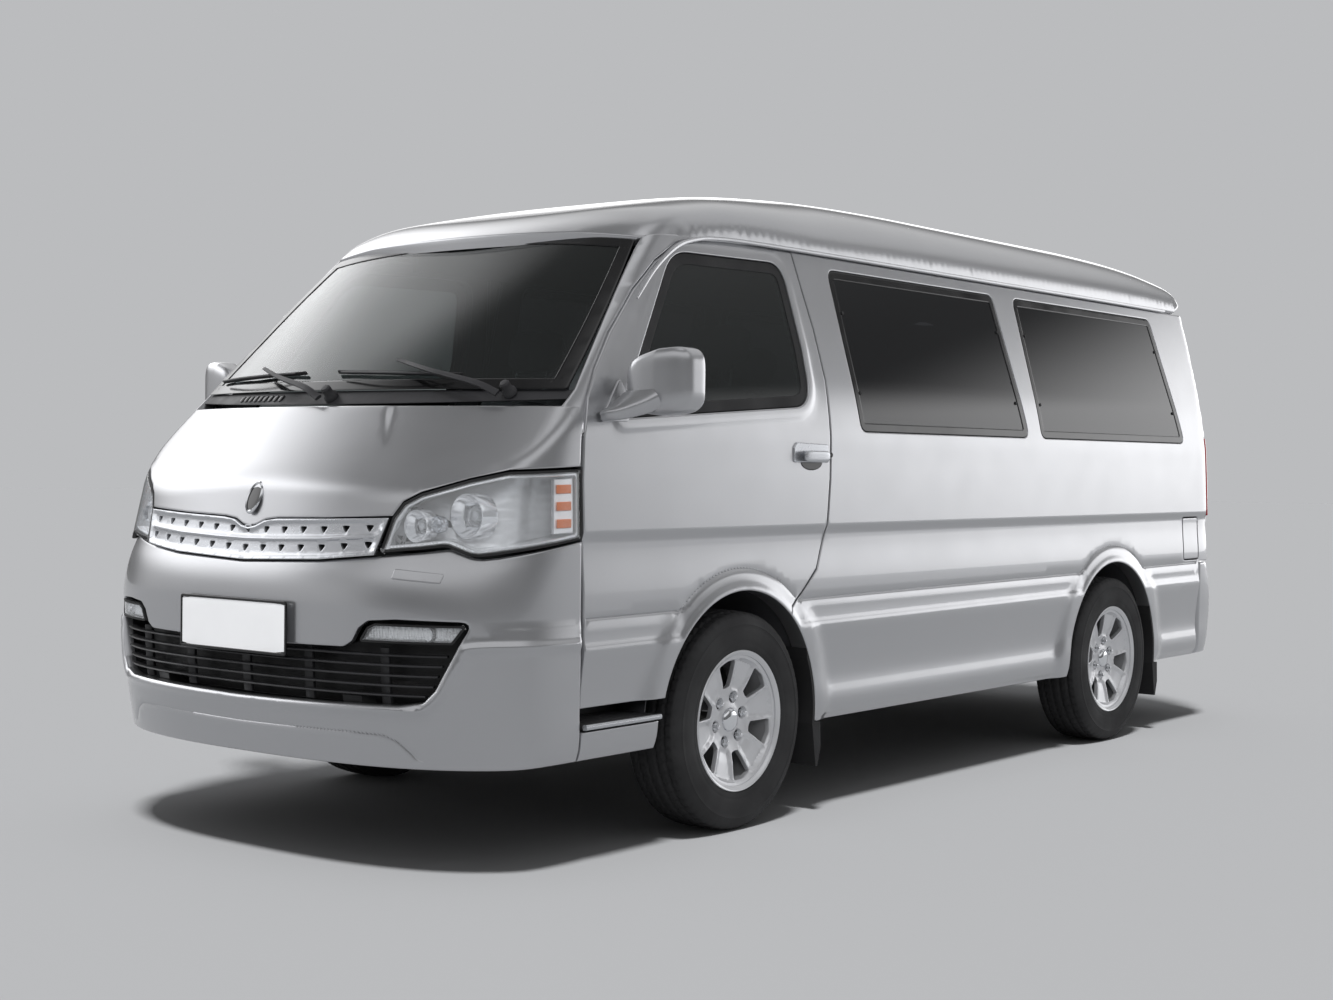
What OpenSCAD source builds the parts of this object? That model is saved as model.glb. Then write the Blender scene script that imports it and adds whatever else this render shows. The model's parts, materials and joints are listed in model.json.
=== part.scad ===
/* [Body] */
// Width over the flanks
body_w = 1690; // [1660:5:1720]
// Height of the roof's crown above the ground
body_h = 2060; // [2030:5:2090]
// Rise of the roof's crown above the drip gutters
crown_rise = 260; // [250:2:270]
// Height of the belt line, as a share of the way from the sills up to the gutters
belt_share = 0.615; // [0.61:0.001:0.62]
// Height of the crease along the flank, as the same share
crease_share = 0.411; // [0.405:0.001:0.417]
// Height of the sills' lower edge
sill_z = 290; // [280:2:310]
// Thickness of the side walls
wall_t = 62; // [60:1:66]
// Thickness of the roof with its lining
roof_t = 30; // [24:1:40]
// Gap round the doors and the tailgate
seam = 6; // [6:0.5:8]
// Thickness of the glass
glass_t = 5; // [4:0.5:6]

/* [Wheels] */
// Distance between the axles
wheelbase = 2590; // [2570:5:2610]
// Distance from the front bumper to the front axle
front_overhang = 1270; // [1260:5:1280]
// Distance from the rear axle to the rear bumper
rear_overhang = 1210; // [1190:5:1230]
// Distance from the widest point of the flank in to the middle of a tyre
wheel_inset = 110; // [108:1:115]
// Radius of the tyre
tyre_r = 333; // [325:1:335]
// Width of the tyre
tyre_w = 195; // [185:5:205]
// Radius of the rim's lip
rim_r = 211; // [205:1:214]
// Radius of the wheel arches in the flanks
arch_r = 395; // [390:1:400]
// Number of spokes in each rim
spokes = 6; // [5:1:7]

/* [Doors] */
// Thickness of the front doors
door_t = 54; // [48:1:54]
// Height of the front doors' lower edge
door_foot_z = 436; // [430:2:446]
// Gap between the front door and the sliding door
door_post = 30; // [26:1:40]

/* [Cabin] */
// Height of the floor's upper face
floor_z = 520; // [510:2:530]
// Thickness of the floor
floor_t = 40; // [30:2:45]
// Width of one front seat
seat_w = 470; // [440:10:490]
// Diameter of the steering wheel
helm_d = 390; // [370:5:400]

/* [Hidden] */

body_len = front_overhang + wheelbase + rear_overhang;
nose_y = -body_len / 2;
tail_y = body_len / 2;
half_w = body_w / 2;
front_y = nose_y + front_overhang;
rear_y = front_y + wheelbase;
wheel_x = half_w - wheel_inset;
gutter_z = body_h - crown_rise;
belt_z = sill_z + belt_share * (gutter_z - sill_z);
crease_z = sill_z + crease_share * (gutter_z - sill_z);

// Height that moves with the sills and the gutters, where z is its height
// on a body with its sills at 290 and its gutters at 1800
function up(z) = sill_z + (z - 290) / (1800 - 290) * (gutter_z - sill_z);
// Place along the body as a share of the way from the front door to the tail
function back(share) = door_back_y + share * (tail_y - door_back_y);

far = 3000;
reach = 12000;
seat_gap = 0.3;
silver = [0.72, 0.73, 0.75];
dark = [0.12, 0.12, 0.13];

// Flank, columns: height, inset from the widest point
flank = [[sill_z, 50], [sill_z + 25, 24], [sill_z + 80, 8], [up(600), 0], [up(760), 2], [crease_z - 6, 5],
    [crease_z + 6, 9], [up(1060), 12], [belt_z, 20], [gutter_z, 158]];
// Roof arch, columns: share of the half width at the gutters, share of the rise above them
arch = [[0.985, 0.2], [0.945, 0.42], [0.88, 0.6], [0.8, 0.73], [0.65, 0.86], [0.43, 0.95], [0.2, 0.99]];
top_w = half_w - 158;
half_section = concat([for (p = flank) [half_w - p[1], p[0]]],
    [for (p = arch) [top_w * p[0], gutter_z + (body_h - gutter_z) * p[1]]]);
section_pts = concat(half_section, [[0, body_h]],
    [for (i = [len(half_section) - 1:-1:0]) [-half_section[i][0], half_section[i][1]]]);

// Roof's side view, columns: distance behind the nose, drop below the crown
roof_front = [[635, 338], [895, 245], [1035, 190], [1235, 132], [1435, 90], [1685, 50], [1985, 18],
    [2335, 2], [2735, 0]];
// The same at the back, columns: distance ahead of the tail, drop below the crown
roof_back = [[1035, 0], [635, 12], [385, 38], [265, 75], [185, 128], [135, 190], [100, 260]];
roof_pts = concat([[-far, 0], [-far, body_h - 700]],
    [for (p = roof_front) [nose_y + p[0], body_h - p[1]]],
    [for (p = roof_back) [tail_y - p[0], body_h - p[1]]], [[far, body_h - 600], [far, 0]]);

// Front planes of the nose, columns: set-back, height, lean from upright, depth of the corners
bumper_planes = [[0, up(600), 0, 540], [0, up(745), 20, 520], [0, up(480), -12, 520]];
nose_planes = [[35, up(824), 15, 480], [90, up(1054), 34, 330], [134, up(1119), 50, 190]];
// Rear planes, the same columns
bumper_back = [0, up(600), 0, 300];
tail_planes = [[65, up(900), 2, 250], [85, up(1330), 10, 220]];
screen_y = nose_y + 345;
screen_z = up(1290);
screen_fall = 537;
screen_lean = atan(screen_fall / (gutter_z - screen_z));
screen_r = 2600;
screen_half = half_w + 60;

// Falling front of the roof, columns: distance behind the nose, drop of the crown there, slope
roof_falls = [[1835, 12, 5], [1285, 58, 9]];
roof_cap = concat([[far, -far], [half_w + 60, gutter_z - 120], [top_w + 8, gutter_z - 20]],
    [for (p = arch) [top_w * p[0], gutter_z + (body_h - gutter_z) * p[1]]], [[0, body_h]]);

// Closed plan of a rounded end with its tip at the origin, a superellipse of power 2.7
function end_plan(depth, steps = 10) = concat(
    [for (i = [-steps:steps]) let (a = 90 * i / steps)
        [(half_w + 2) * sign(a) * pow(abs(sin(a)), 2 / 2.7), depth * (1 - pow(cos(a), 2 / 2.7))]],
    [[half_w + 2, reach], [-half_w - 2, reach]]);

// Turns a drawing of y and z into a slab across the whole width
module across(w = 2 * far) {
    rotate([90, 0, 90]) linear_extrude(w, center = true) children();
}

// Turns a drawing of x and z into a slab from y0 to y1
module along(y0, y1) {
    translate([0, y1, 0]) rotate([90, 0, 0]) linear_extrude(y1 - y0) children();
}

module section(t) {
    offset(delta = -t) polygon(section_pts);
}

// Roof's arch carried along a line that falls towards the nose
module roof_fall(p, t) {
    translate([0, nose_y + p[0], body_h - p[1]]) rotate([p[2], 0, 0]) translate([0, 0, -body_h])
        along(-reach, reach) offset(delta = -t) polygon(concat(roof_cap,
            [for (i = [len(roof_cap) - 2:-1:0]) [-roof_cap[i][0], roof_cap[i][1]]]));
}

module front_plane(p, t) {
    translate([0, nose_y + p[0], p[1]]) rotate([-p[2], 0, 0])
        linear_extrude(reach, center = true) offset(delta = -t) polygon(end_plan(p[3]));
}

module rear_plane(p, t) {
    translate([0, tail_y - p[0], p[1]]) rotate([p[2], 0, 0]) mirror([0, 1, 0])
        linear_extrude(reach, center = true) offset(delta = -t) polygon(end_plan(p[3]));
}

// Windshield's face: an arc of the radius screen_r carried up along its lean
module screen_plane(t) {
    translate([0, screen_y, screen_z]) rotate([-screen_lean, 0, 0])
        linear_extrude(reach, center = true) offset(delta = -t)
        polygon(concat([for (i = [-8:8]) let (x = i * screen_half / 8) [x, screen_r - sqrt(screen_r * screen_r - x * x)]],
            [[screen_half, reach], [-screen_half, reach]]));
}

// Body above the bumpers, inset by t
module upper(t) {
    intersection() {
        along(nose_y - 100, tail_y + 100) section(t);
        across() offset(delta = -t) polygon(roof_pts);
        for (p = roof_falls) roof_fall(p, t);
        for_front(t);
        for_tail(t);
    }
}

module for_front(t) {
    intersection() {
        front_plane(nose_planes[0], t);
        front_plane(nose_planes[1], t);
        front_plane(nose_planes[2], t);
        screen_plane(t);
    }
}

module for_tail(t) {
    intersection() {
        rear_plane(tail_planes[0], t);
        rear_plane(tail_planes[1], t);
    }
}

// Wall of one flank between the insets t0 and t1, on both sides of the body
module flank_wall(t0, t1, y0, y1) {
    along(y0, y1) difference() {
        section(t0);
        section(t1);
        square([2 * (half_w - 300), 2 * far], center = true);
    }
}

module box(x, y, z) {
    translate([x[0], y[0], z[0]]) cube([x[1] - x[0], y[1] - y[0], z[1] - z[0]]);
}

// Left half of space from x0 outwards
module left_of(x0) {
    box([x0, far], [-far, far], [-far, far]);
}

module both_sides() {
    children();
    mirror([1, 0, 0]) children();
}

module rounded(r) {
    offset(r = r, $fn = 20) offset(delta = -r) children();
}

// Outline of the front door in side view, before the wheel arch is cut out of it
door_front_y = nose_y + 535;
door_back_y = front_y + 485;
door_top_z = gutter_z - 5;
module door_outline() {
    difference() {
        polygon([[door_front_y, door_foot_z], [door_front_y, up(900)], [door_front_y - 6, up(1060)],
            [door_front_y + 6, up(1190)], [door_front_y + 90, up(1367)], [door_front_y + 187, up(1476)],
            [door_front_y + 324, up(1608)], [door_front_y + 443, up(1701)], [door_front_y + 560, door_top_z - 30],
            [door_front_y + 690, door_top_z], [door_back_y - 49, door_top_z], [door_back_y - 25, up(1676)],
            [door_back_y + 3, up(1547)], [door_back_y + 20, up(1386)], [door_back_y + 8, belt_z],
            [door_back_y, up(1063)], [door_back_y - 20, up(900)], [door_back_y - 75, up(780)],
            [front_y + 262, up(668)], [front_y + 200, door_foot_z]]);
        translate([front_y, tyre_r]) circle(arch_r, $fn = 48);
    }
}

module door_window() {
    rounded(40) polygon([[door_front_y + 205, belt_z + 6], [door_front_y + 238, belt_z + 60],
        [door_front_y + 585, up(1735)], [door_back_y - 145, up(1744)], [door_back_y - 88, up(1541)],
        [door_back_y - 90, up(1300)], [door_back_y - 150, belt_z + 6]]);
}

// Side windows, columns: front and rear edge at the foot, front and rear edge at the top
pane_front = [back(0.0603), back(0.4163), back(0.0459), back(0.3852)];
pane_back = [back(0.4486), back(0.8534), back(0.4356), back(0.8115)];
pane_z = [belt_z + 3, gutter_z - 46];
module pane(p) {
    rounded(35) polygon([[p[0], pane_z[0]], [p[1], pane_z[0]], [p[3], pane_z[1]], [p[2], pane_z[1]]]);
}

slide_y0 = door_back_y + door_post;
slide_y1 = back(0.421);
slide_foot_z = floor_z - 100;
module slide_outline() {
    rounded(20) polygon([[slide_y0, slide_foot_z], [slide_y1, slide_foot_z],
        [slide_y1, door_top_z], [slide_y0, door_top_z]]);
}

screen_foot_w = half_w - 75;
screen_top_w = half_w - 205;
screen_top_z = gutter_z - 28;
module screen_outline() {
    rounded(60) polygon([[-screen_foot_w, screen_z + 14], [screen_foot_w, screen_z + 14],
        [screen_top_w, screen_top_z], [-screen_top_w, screen_top_z]]);
}

gate_t = 50;
gate_w = half_w - 145;
gate_z0 = up(800);
gate_z1 = gutter_z + 80;
module gate_outline() {
    rounded(60) polygon([[-gate_w, gate_z0], [gate_w, gate_z0], [gate_w, up(1300)], [gate_w - 130, gate_z1],
        [130 - gate_w, gate_z1], [-gate_w, up(1300)]]);
}

module gate_window() {
    rounded(60) polygon([[90 - gate_w, up(1290)], [gate_w - 90, up(1290)], [gate_w - 190, gutter_z - 30],
        [190 - gate_w, gutter_z - 30]]);
}

flap_y = [tail_y - 495, tail_y - 340];
flap_z = [up(716), up(895)];
flap_t = 12;
module flap_outline() {
    rounded(12) translate([flap_y[0], flap_z[0]]) square([flap_y[1] - flap_y[0], flap_z[1] - flap_z[0]]);
}

// Round passage of the wheels through both flanks
module arch_cut(y, r = arch_r) {
    translate([0, y, tyre_r]) rotate([0, 90, 0]) cylinder(h = 2 * far, r = r, center = true, $fn = 64);
}

rear_bumper_z = up(700);
rear_bumper_y = tail_y - 330;
lip = 14;
frame_t = wall_t + 33;
// Side wall with its pillars, and the frame that the front door shuts against
module side_wall() {
    difference() {
        intersection() {
            difference() {
                upper(0);
                upper(wall_t);
            }
            left_of(half_w - 290);
            box([-far, far], [door_front_y + 20 + seat_gap, far], [sill_z, gutter_z]);
        }
        across() offset(delta = seam) door_outline();
        arch_cut(front_y);
        arch_cut(rear_y);
        screen_hole();
        along(tail_y - 500, far) offset(delta = seam) gate_outline();
        box([-far, far], [rear_bumper_y, far], [-far, rear_bumper_z + 2]);
        box([-far, far], [-far, front_y], [-far, door_foot_z - seam]);
        difference() {
            tail_lamp_box(seat_gap);
            upper(lamp_t + seat_gap);
        }
    }
    difference() {
        door_frame(door_front_y + 20 + seat_gap, door_back_y + 60) door_outline();
        arch_cut(front_y, arch_r + 2);
        screen_hole();
        box([-far, far], [-far, front_y], [-far, door_foot_z - seam]);
    }
    intersection() {
        difference() {
            upper(gate_t + seat_gap);
            upper(gate_t + 36);
        }
        left_of(half_w - 290);
        box([-far, far], [tail_y - 500, far], [rear_bumper_z + 2, gutter_z]);
        along(tail_y - 500, far) difference() {
            offset(delta = seam + 30) gate_outline();
            offset(delta = -lip) gate_outline();
        }
    }
}

// Frame that a door shuts against, with the raised lip of its seal
module door_frame(y0, y1) {
    intersection() {
        union() {
            intersection() {
                flank_wall(door_t + seam, frame_t, y0, y1);
                across() difference() {
                    offset(delta = seam + 30) children();
                    offset(delta = -35) children();
                }
            }
            intersection() {
                flank_wall(door_t + seat_gap, frame_t, y0, y1);
                across() difference() {
                    offset(delta = -lip) children();
                    offset(delta = -2 * lip) children();
                }
            }
        }
        left_of(0);
        upper(20);
    }
}

// Windshield's opening: full size down to the glass, a ledge behind it
module screen_hole() {
    difference() {
        along(-far, 0) offset(delta = 2) screen_outline();
        screen_plane(3 + glass_t + seat_gap);
    }
    along(-far, 0) offset(delta = -25) screen_outline();
}

lamp_t = 40;
module tail_lamp_box(o) {
    box([gate_w + 12 - o, half_w - 40 + o], [tail_y - 300 - o, far], [up(900) - o, up(1250) + o]);
}

// Opening for a flush pane: full size outside, a ledge for its rim inside
module pane_hole() {
    intersection() {
        across() offset(delta = 2) children();
        flank_wall(-20, glass_t + 3.3, -far, far);
    }
    across() offset(delta = -22) children();
}

module side_left() {
    color(silver) difference() {
        side_wall();
        pane_hole() pane(pane_front);
        pane_hole() pane(pane_back);
        intersection() {
            across() offset(delta = 5) flap_outline();
            flank_wall(-20, flap_t + seat_gap, -far, far);
        }
        intersection() {
            across() offset(delta = -10) flap_outline();
            flank_wall(-20, 35, -far, far);
        }
    }
}

module side_right() {
    color(silver) mirror([1, 0, 0]) {
        difference() {
            side_wall();
            pane_hole() pane(pane_back);
            across() offset(delta = seam) slide_outline();
        }
        difference() {
            door_frame(slide_y0 - 20, slide_y1 + 40) slide_outline();
            pane_hole() pane(pane_back);
        }
    }
}

module roof() {
    color(silver) {
        difference() {
            intersection() {
                upper(0);
                union() {
                    box([-far, far], [-far, far], [gutter_z + seat_gap, far]);
                    box([290 - half_w + seat_gap, half_w - 290 - seat_gap], [-far, front_y + 30], [gutter_z - 60, far]);
                }
            }
            upper(roof_t);
            along(tail_y - 500, far) offset(delta = seam) gate_outline();
            screen_hole();
        }
        both_sides() box([top_w - 30, top_w + 12], [front_y - 70, tail_y - 475],
            [gutter_z + seat_gap, gutter_z + 14]);
    }
}

module nose_panel() {
    color(silver) difference() {
        intersection() {
            difference() {
                upper(0);
                upper(30);
            }
            box([-far, far], [-far, door_front_y + 20], [bumper_top_z + 4, screen_z - 45]);
        }
        across() offset(delta = seam) door_outline();
        along(-far, 0) offset(delta = 4) lamp_outline();
        along(-far, 0) offset(delta = 4) mirror([1, 0]) lamp_outline();
        along(-far, 0) offset(delta = seat_gap) grille_outline();
        box([-lamp_in - 60, lamp_in + 60], [-far, 0], [0, lamp_z[0] + 20]);
        along(-far, 0) offset(delta = 4) bumper_outline();
    }
}

module cowl() {
    color(dark) difference() {
        intersection() {
            upper(6);
            box([-far, far], [-far, door_front_y - seam], [screen_z - 45 + seat_gap, screen_z + 12]);
            box([60 - half_w, half_w - 60], [-far, far], [0, far]);
        }
        upper(45);
        screen_hole();
    }
}

// Headlamp in front view
lamp_z = [up(842), up(1078)];
lamp_in = half_w - 367;
module lamp_outline() {
    polygon([[lamp_in, lamp_z[0]], [lamp_in + 22, up(935)], [lamp_in + 62, up(985)], [lamp_in + 130, up(1025)],
        [lamp_in + 220, up(1055)], [half_w + 20, lamp_z[1]], [half_w + 20, up(898)], [lamp_in + 230, up(872)],
        [lamp_in + 150, up(838)], [lamp_in + 105, up(850)]]);
}

grille_z = [up(830), up(938)];
hole_pitch = 68;
module grille_outline() {
    polygon([[-lamp_in + 8, grille_z[0]], [lamp_in - 8, grille_z[0]], [lamp_in + 14, grille_z[1]], [25, grille_z[1]],
        [0, grille_z[1] - 12], [-25, grille_z[1]], [-lamp_in - 14, grille_z[1]]]);
}

module headlamps() {
    color([0.85, 0.87, 0.9]) both_sides() intersection() {
        difference() {
            upper(2);
            upper(frame_t);
        }
        along(-far, door_front_y - seam) lamp_outline();
    }
}

// Small hole of the grille, a rounded triangle that points down
module grille_hole() {
    offset(r = 3, $fn = 20) rotate([0, 0, -90]) circle(9, $fn = 3);
}

// Sunken band of the grille between two heights
module grille_band(z0, z1) {
    difference() {
        along(-far, 0) intersection() {
            offset(delta = -9) grille_outline();
            translate([-half_w, z0]) square([2 * half_w, z1 - z0]);
        }
        upper(10);
    }
}

// Grille: a frame, a ridge across the middle and two sunken bands, each with a row of holes
module grille() {
    ridge_z = (grille_z[0] + grille_z[1]) / 2;
    color(silver) intersection() {
        along(-far, 0) grille_outline();
        difference() {
            upper(4);
            upper(30);
            grille_band(0, ridge_z - 3);
            grille_band(ridge_z + 3, far);
            for (z = [-22, 22], i = [-6:6]) along(-far, 0) translate([i * hole_pitch, ridge_z + z]) grille_hole();
        }
    }
}

open_z = [up(475), up(610)];
module mouth() {
    rounded(30) polygon([[245 - half_w, open_z[0]], [half_w - 245, open_z[0]], [half_w - 155, open_z[1]],
        [155 - half_w, open_z[1]]]);
}

module fog_outline() {
    translate([half_w - 118, up(672)]) polygon([[-272, -50], [-87, -50], [-37, -44], [0, 0], [-27, 10], [-207, 10],
        [-257, -12]]);
}

bumper_top_z = up(826);
bumper_end_z = up(893);
module bumper_outline() {
    polygon([[-far, sill_z], [far, sill_z], [far, bumper_end_z], [lamp_in + 240, bumper_end_z], [lamp_in, bumper_top_z],
        [-lamp_in, bumper_top_z], [-lamp_in - 240, bumper_end_z], [-far, bumper_end_z]]);
}

plate_z = up(650);
plate_pitch = 240;
plate_hole_r = 3.5;
module front_bumper() {
    color(silver) difference() {
        intersection() {
            difference() {
                lower(0);
                lower(bumper_t);
            }
            box([-far, far], [-far, door_front_y - seam], [sill_z, far]);
            along(-far, 0) bumper_outline();
        }
        along(-far, 0) mouth();
        for (s = [-1, 1]) translate([s * plate_pitch / 2, nose_y - 50, plate_z]) rotate([-90, 0, 0])
            cylinder(h = 150, r = plate_hole_r, $fn = 24);
        both_sides() along(-far, 0) offset(delta = 1) fog_outline();
        both_sides() along(-far, 0) offset(delta = 4) lamp_outline();
    }
}

// Body at the height of the bumpers, inset by t
module lower(t) {
    intersection() {
        along(nose_y - 100, tail_y + 100) section(t);
        front_plane(bumper_planes[0], t);
        front_plane(bumper_planes[1], t);
        front_plane(bumper_planes[2], t);
        rear_plane(bumper_back, t);
    }
}

module lower_grille() {
    color(dark) intersection() {
        difference() {
            lower(12);
            lower(46);
        }
        union() {
            along(-far, 0) intersection() {
                offset(delta = -0.3) mouth();
                union() {
                    for (share = [0.18, 0.45, 0.72])
                        translate([-far, open_z[0] + share * (open_z[1] - open_z[0])]) square([2 * far, 12]);
                    for (x = [-500:250:500]) translate([x - 20, 0]) square([40, far]);
                }
            }
        }
    }
}

module fog_lamps() {
    color([0.85, 0.87, 0.9]) both_sides() intersection() {
        difference() {
            lower(4);
            lower(60);
        }
        along(-far, 0) offset(delta = 0.7) fog_outline();
        box([0, far], [-far, 0], [open_z[1] + 2, far]);
    }
}

step_z = [floor_z - 170, floor_z - 96];
module side_steps() {
    color(dark) both_sides() {
        box([half_w - 210, half_w - 2], [door_front_y, front_y - arch_r - 2], step_z);
        box([half_w - 205, half_w - 160], [door_front_y + 100, door_front_y + 160], [step_z[0], floor_z - floor_t - seat_gap]);
    }
}

module rear_bumper() {
    color(silver) difference() {
        intersection() {
            difference() {
                lower(0);
                lower(bumper_t);
            }
            box([-far, far], [rear_bumper_y + seam, far], [sill_z, rear_bumper_z]);
        }
    }
}

module tail_lamps() {
    color([0.6, 0.1, 0.1]) both_sides() intersection() {
        difference() {
            upper(-1);
            upper(lamp_t);
        }
        tail_lamp_box(0);
    }
}

module windshield() {
    color([0.5, 0.6, 0.65, 0.4]) intersection() {
        difference() {
            screen_plane(3);
            screen_plane(3 + glass_t);
        }
        along(-far, 0) screen_outline();
        box([-far, far], [-far, -1200], [0, far]);
    }
}

module side_pane(p) {
    intersection() {
        across() pane(p);
        flank_wall(3, 3 + glass_t, -far, far);
        left_of(0);
    }
}

module side_glass_left() {
    color([0.2, 0.22, 0.24, 0.6]) {
        side_pane(pane_front);
        side_pane(pane_back);
    }
}

module side_glass_right() {
    color([0.2, 0.22, 0.24, 0.6]) mirror([1, 0, 0]) side_pane(pane_back);
}

// Wiper pivots, columns: distance to the left of the middle, height
pivots = [[70, screen_z - 4], [560, screen_z]];
blade_len = 430;
module blade_line(p, w) {
    hull() {
        translate(p) circle(w / 2, $fn = 16);
        translate([p[0] - blade_len, p[1] + 62]) circle(w / 2, $fn = 16);
    }
}

module wipers() {
    color(dark) for (p = pivots) difference() {
        union() {
            intersection() {
                screen_plane(-24);
                along(-far, 0) blade_line(p, 16);
            }
            intersection() {
                screen_plane(-34);
                translate([p[0], nose_y, p[1]]) rotate([-90, 0, 0]) cylinder(h = 600, r = 17, $fn = 24);
            }
        }
        screen_plane(2.7);
        upper(5.7);
    }
}

// Dashboard, seated between the frames of the front doors, with a bore for the steering column
module dashboard() {
    color([0.25, 0.25, 0.27]) difference() {
        intersection() {
            box([-half_w, half_w], [nose_y + 430, nose_y + 720], [up(860), up(1180)]);
            upper(frame_t + seat_gap);
        }
        box([-far, far], [nose_y + 560, far], [-far, up(1000)]);
        at_helm() cylinder(h = 800, r = column_r + seat_gap, center = true, $fn = 32);
    }
}

column_r = 18;
module at_helm() {
    translate([seat_x, helm_y, helm_z]) rotate([helm_lean - 90, 0, 0]) children();
}

helm_y = nose_y + 870;
helm_z = up(1130);
helm_lean = 38;
module steering_wheel() {
    color(dark) at_helm() {
        rotate_extrude($fn = 48) translate([helm_d / 2 - 14, 0]) circle(14, $fn = 16);
        cylinder(h = 30, r = 60, center = true, $fn = 32);
        for (a = [90, 210, 330]) rotate([0, 0, a]) box([40, helm_d / 2 - 10], [-15, 15], [-6, 6]);
        translate([0, 0, -230]) cylinder(h = 230, r = column_r, $fn = 32);
    }
}

// Slab with rounded corners in front view, standing on z = 0
module pad(w, t, h, r) {
    rotate([90, 0, 0]) translate([0, 0, -t / 2]) linear_extrude(t) rounded(r) translate([-w / 2, 0]) square([w, h]);
}

seat_back_z = up(1400);
// Seat with its back and headrests: width, place of its middle, height below it, places of its headrests
module seat(w, y, z, heads) {
    rest = seat_back_z - z - 60;
    translate([0, y, z]) {
        box([-w / 2, w / 2], [-260, 240], [0, 60]);
        intersection() {
            translate([0, -10, 0]) pad(w, 520, 140, 45);
            across() rounded(45) translate([-265, -60]) square([520, 200]);
        }
        translate([0, 255, 60]) rotate([-12, 0, 0]) {
            pad(w, 110, rest, 60);
            for (x = heads) translate([x, 0, rest + 30]) {
                pad(250, 80, 165, 50);
                for (s = [-70, 70]) translate([s, 0, -50]) cylinder(h = 80, r = 7, $fn = 16);
            }
        }
    }
}

plinth_z = up(800);
bench_z = floor_z + 260;
seat_x = wheel_x - 330;
bench_rows = [front_y + 1250, front_y + 0.83 * wheelbase];
module front_seats() {
    color([0.5, 0.5, 0.5]) both_sides() translate([seat_x, 0, 0])
        seat(seat_w, front_y + 40, plinth_z + seat_gap, [0]);
}

module rear_seats() {
    color([0.5, 0.5, 0.5]) {
        both_sides() translate([330, 0, 0]) seat(seat_w, bench_rows[0], bench_z + seat_gap, [0]);
        seat(1240, bench_rows[1], bench_z + seat_gap, [-400, 0, 400]);
    }
}

module floor() {
    color([0.3, 0.3, 0.32]) {
        difference() {
            union() {
                intersection() {
                    box([-half_w, half_w], [door_front_y - 100, tail_y], [floor_z - floor_t, floor_z]);
                    along(front_y - arch_r, tail_y) section(wall_t + seat_gap);
                    lower(wall_t + seat_gap);
                }
                intersection() {
                    box([-half_w, half_w], [nose_y + 150, front_y - arch_r + 5], [floor_z - floor_t, floor_z]);
                    lower(frame_t + seat_gap);
                }
                box([-620, 620], [front_y - 420, front_y + 460], [floor_z, plinth_z]);
            }
            box([-600, 600], [front_y - 400, front_y + 440], [-far, plinth_z - 20]);
            mirror([1, 0, 0]) intersection() {
                flank_wall(wall_t - 5, frame_t + seat_gap, slide_y0 - 21, slide_y1 + 41);
                left_of(0);
            }
            both_sides() box([wheel_x - 305, far], [front_y - 400, front_y + 400], [0, plinth_z - 20]);
            both_sides() box([wheel_x - 145, far], [rear_y - 400, rear_y + 400], [0, tyre_r + arch_r + 17]);
        }
        for (y = bench_rows) box([-560, 560], [y - 220, y + 200], [floor_z - 1, bench_z]);
    }
}

handle_y = [door_back_y - 216, door_back_y + 3];
handle_z = [up(1120), up(1176)];
// Handle: a bowed bar on two feet
module door_handle() {
    intersection() {
        across() rounded(16) translate([handle_y[0], handle_z[0]])
            square([handle_y[1] - handle_y[0], handle_z[1] - handle_z[0]]);
        translate([0, 0, handle_z[0]]) linear_extrude(handle_z[1] - handle_z[0]) polygon([
            [half_w - 30, handle_y[0]], [half_w + 4, handle_y[0]], [half_w + 20, handle_y[0] + 50],
            [half_w + 24, handle_y[1] - 90], [half_w + 16, handle_y[1] - 12], [half_w - 30, handle_y[1]],
            [half_w - 30, handle_y[1] - 50], [half_w + 6, handle_y[1] - 50], [half_w + 8, handle_y[0] + 60],
            [half_w - 4, handle_y[0] + 40], [half_w - 30, handle_y[0] + 40]]);
    }
}

module door_shell() {
    difference() {
        intersection() {
            flank_wall(0, door_t, -far, far);
            left_of(0);
            across() door_outline();
        }
        intersection() {
            across() offset(delta = 2) door_window();
            flank_wall(-20, 12.3 + glass_t, -far, far);
        }
        across() offset(delta = -14) door_window();
    }
    door_handle();
}

module door_pane() {
    intersection() {
        across() door_window();
        flank_wall(12, 12 + glass_t, -far, far);
        left_of(0);
    }
}

// Door mirror: a head with a flat back, cut from three rounded outlines, on a foot at the window's corner
mirror_size = [190, 120, 165];
module mirror_piece() {
    difference() {
        union() {
            translate([half_w + 16, door_front_y + 250, belt_z + 58]) intersection() {
                along(-far, far) rounded(38) polygon([[0, 0], [30, mirror_size[2] - 30], [60, mirror_size[2] - 8],
                    [mirror_size[0], mirror_size[2]], [mirror_size[0], 24], [mirror_size[0] - 30, 8]]);
                across() rounded(30) translate([-mirror_size[1] / 2, 0]) square([mirror_size[1], mirror_size[2]]);
                translate([0, 0, -10]) linear_extrude(mirror_size[2] + 20) rounded(28) polygon([
                    [0, -10], [70, -50], [mirror_size[0] - 40, -50], [mirror_size[0], -10],
                    [mirror_size[0], 60], [0, 60]]);
            }
            translate([half_w - 60, door_front_y + 60, belt_z + 26]) box([0, 90], [0, 160], [0, 40]);
            translate([half_w - 10, door_front_y + 130, belt_z + 30]) box([0, 70], [20, 150], [0, 60]);
        }
        along(-far, 0) section(-seat_gap);
    }
}

module door_left() {
    color(silver) door_shell();
}

module door_right() {
    color(silver) mirror([1, 0, 0]) door_shell();
}

module door_glass_left() {
    color([0.5, 0.6, 0.65, 0.4]) door_pane();
}

module door_glass_right() {
    color([0.5, 0.6, 0.65, 0.4]) mirror([1, 0, 0]) door_pane();
}

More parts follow.
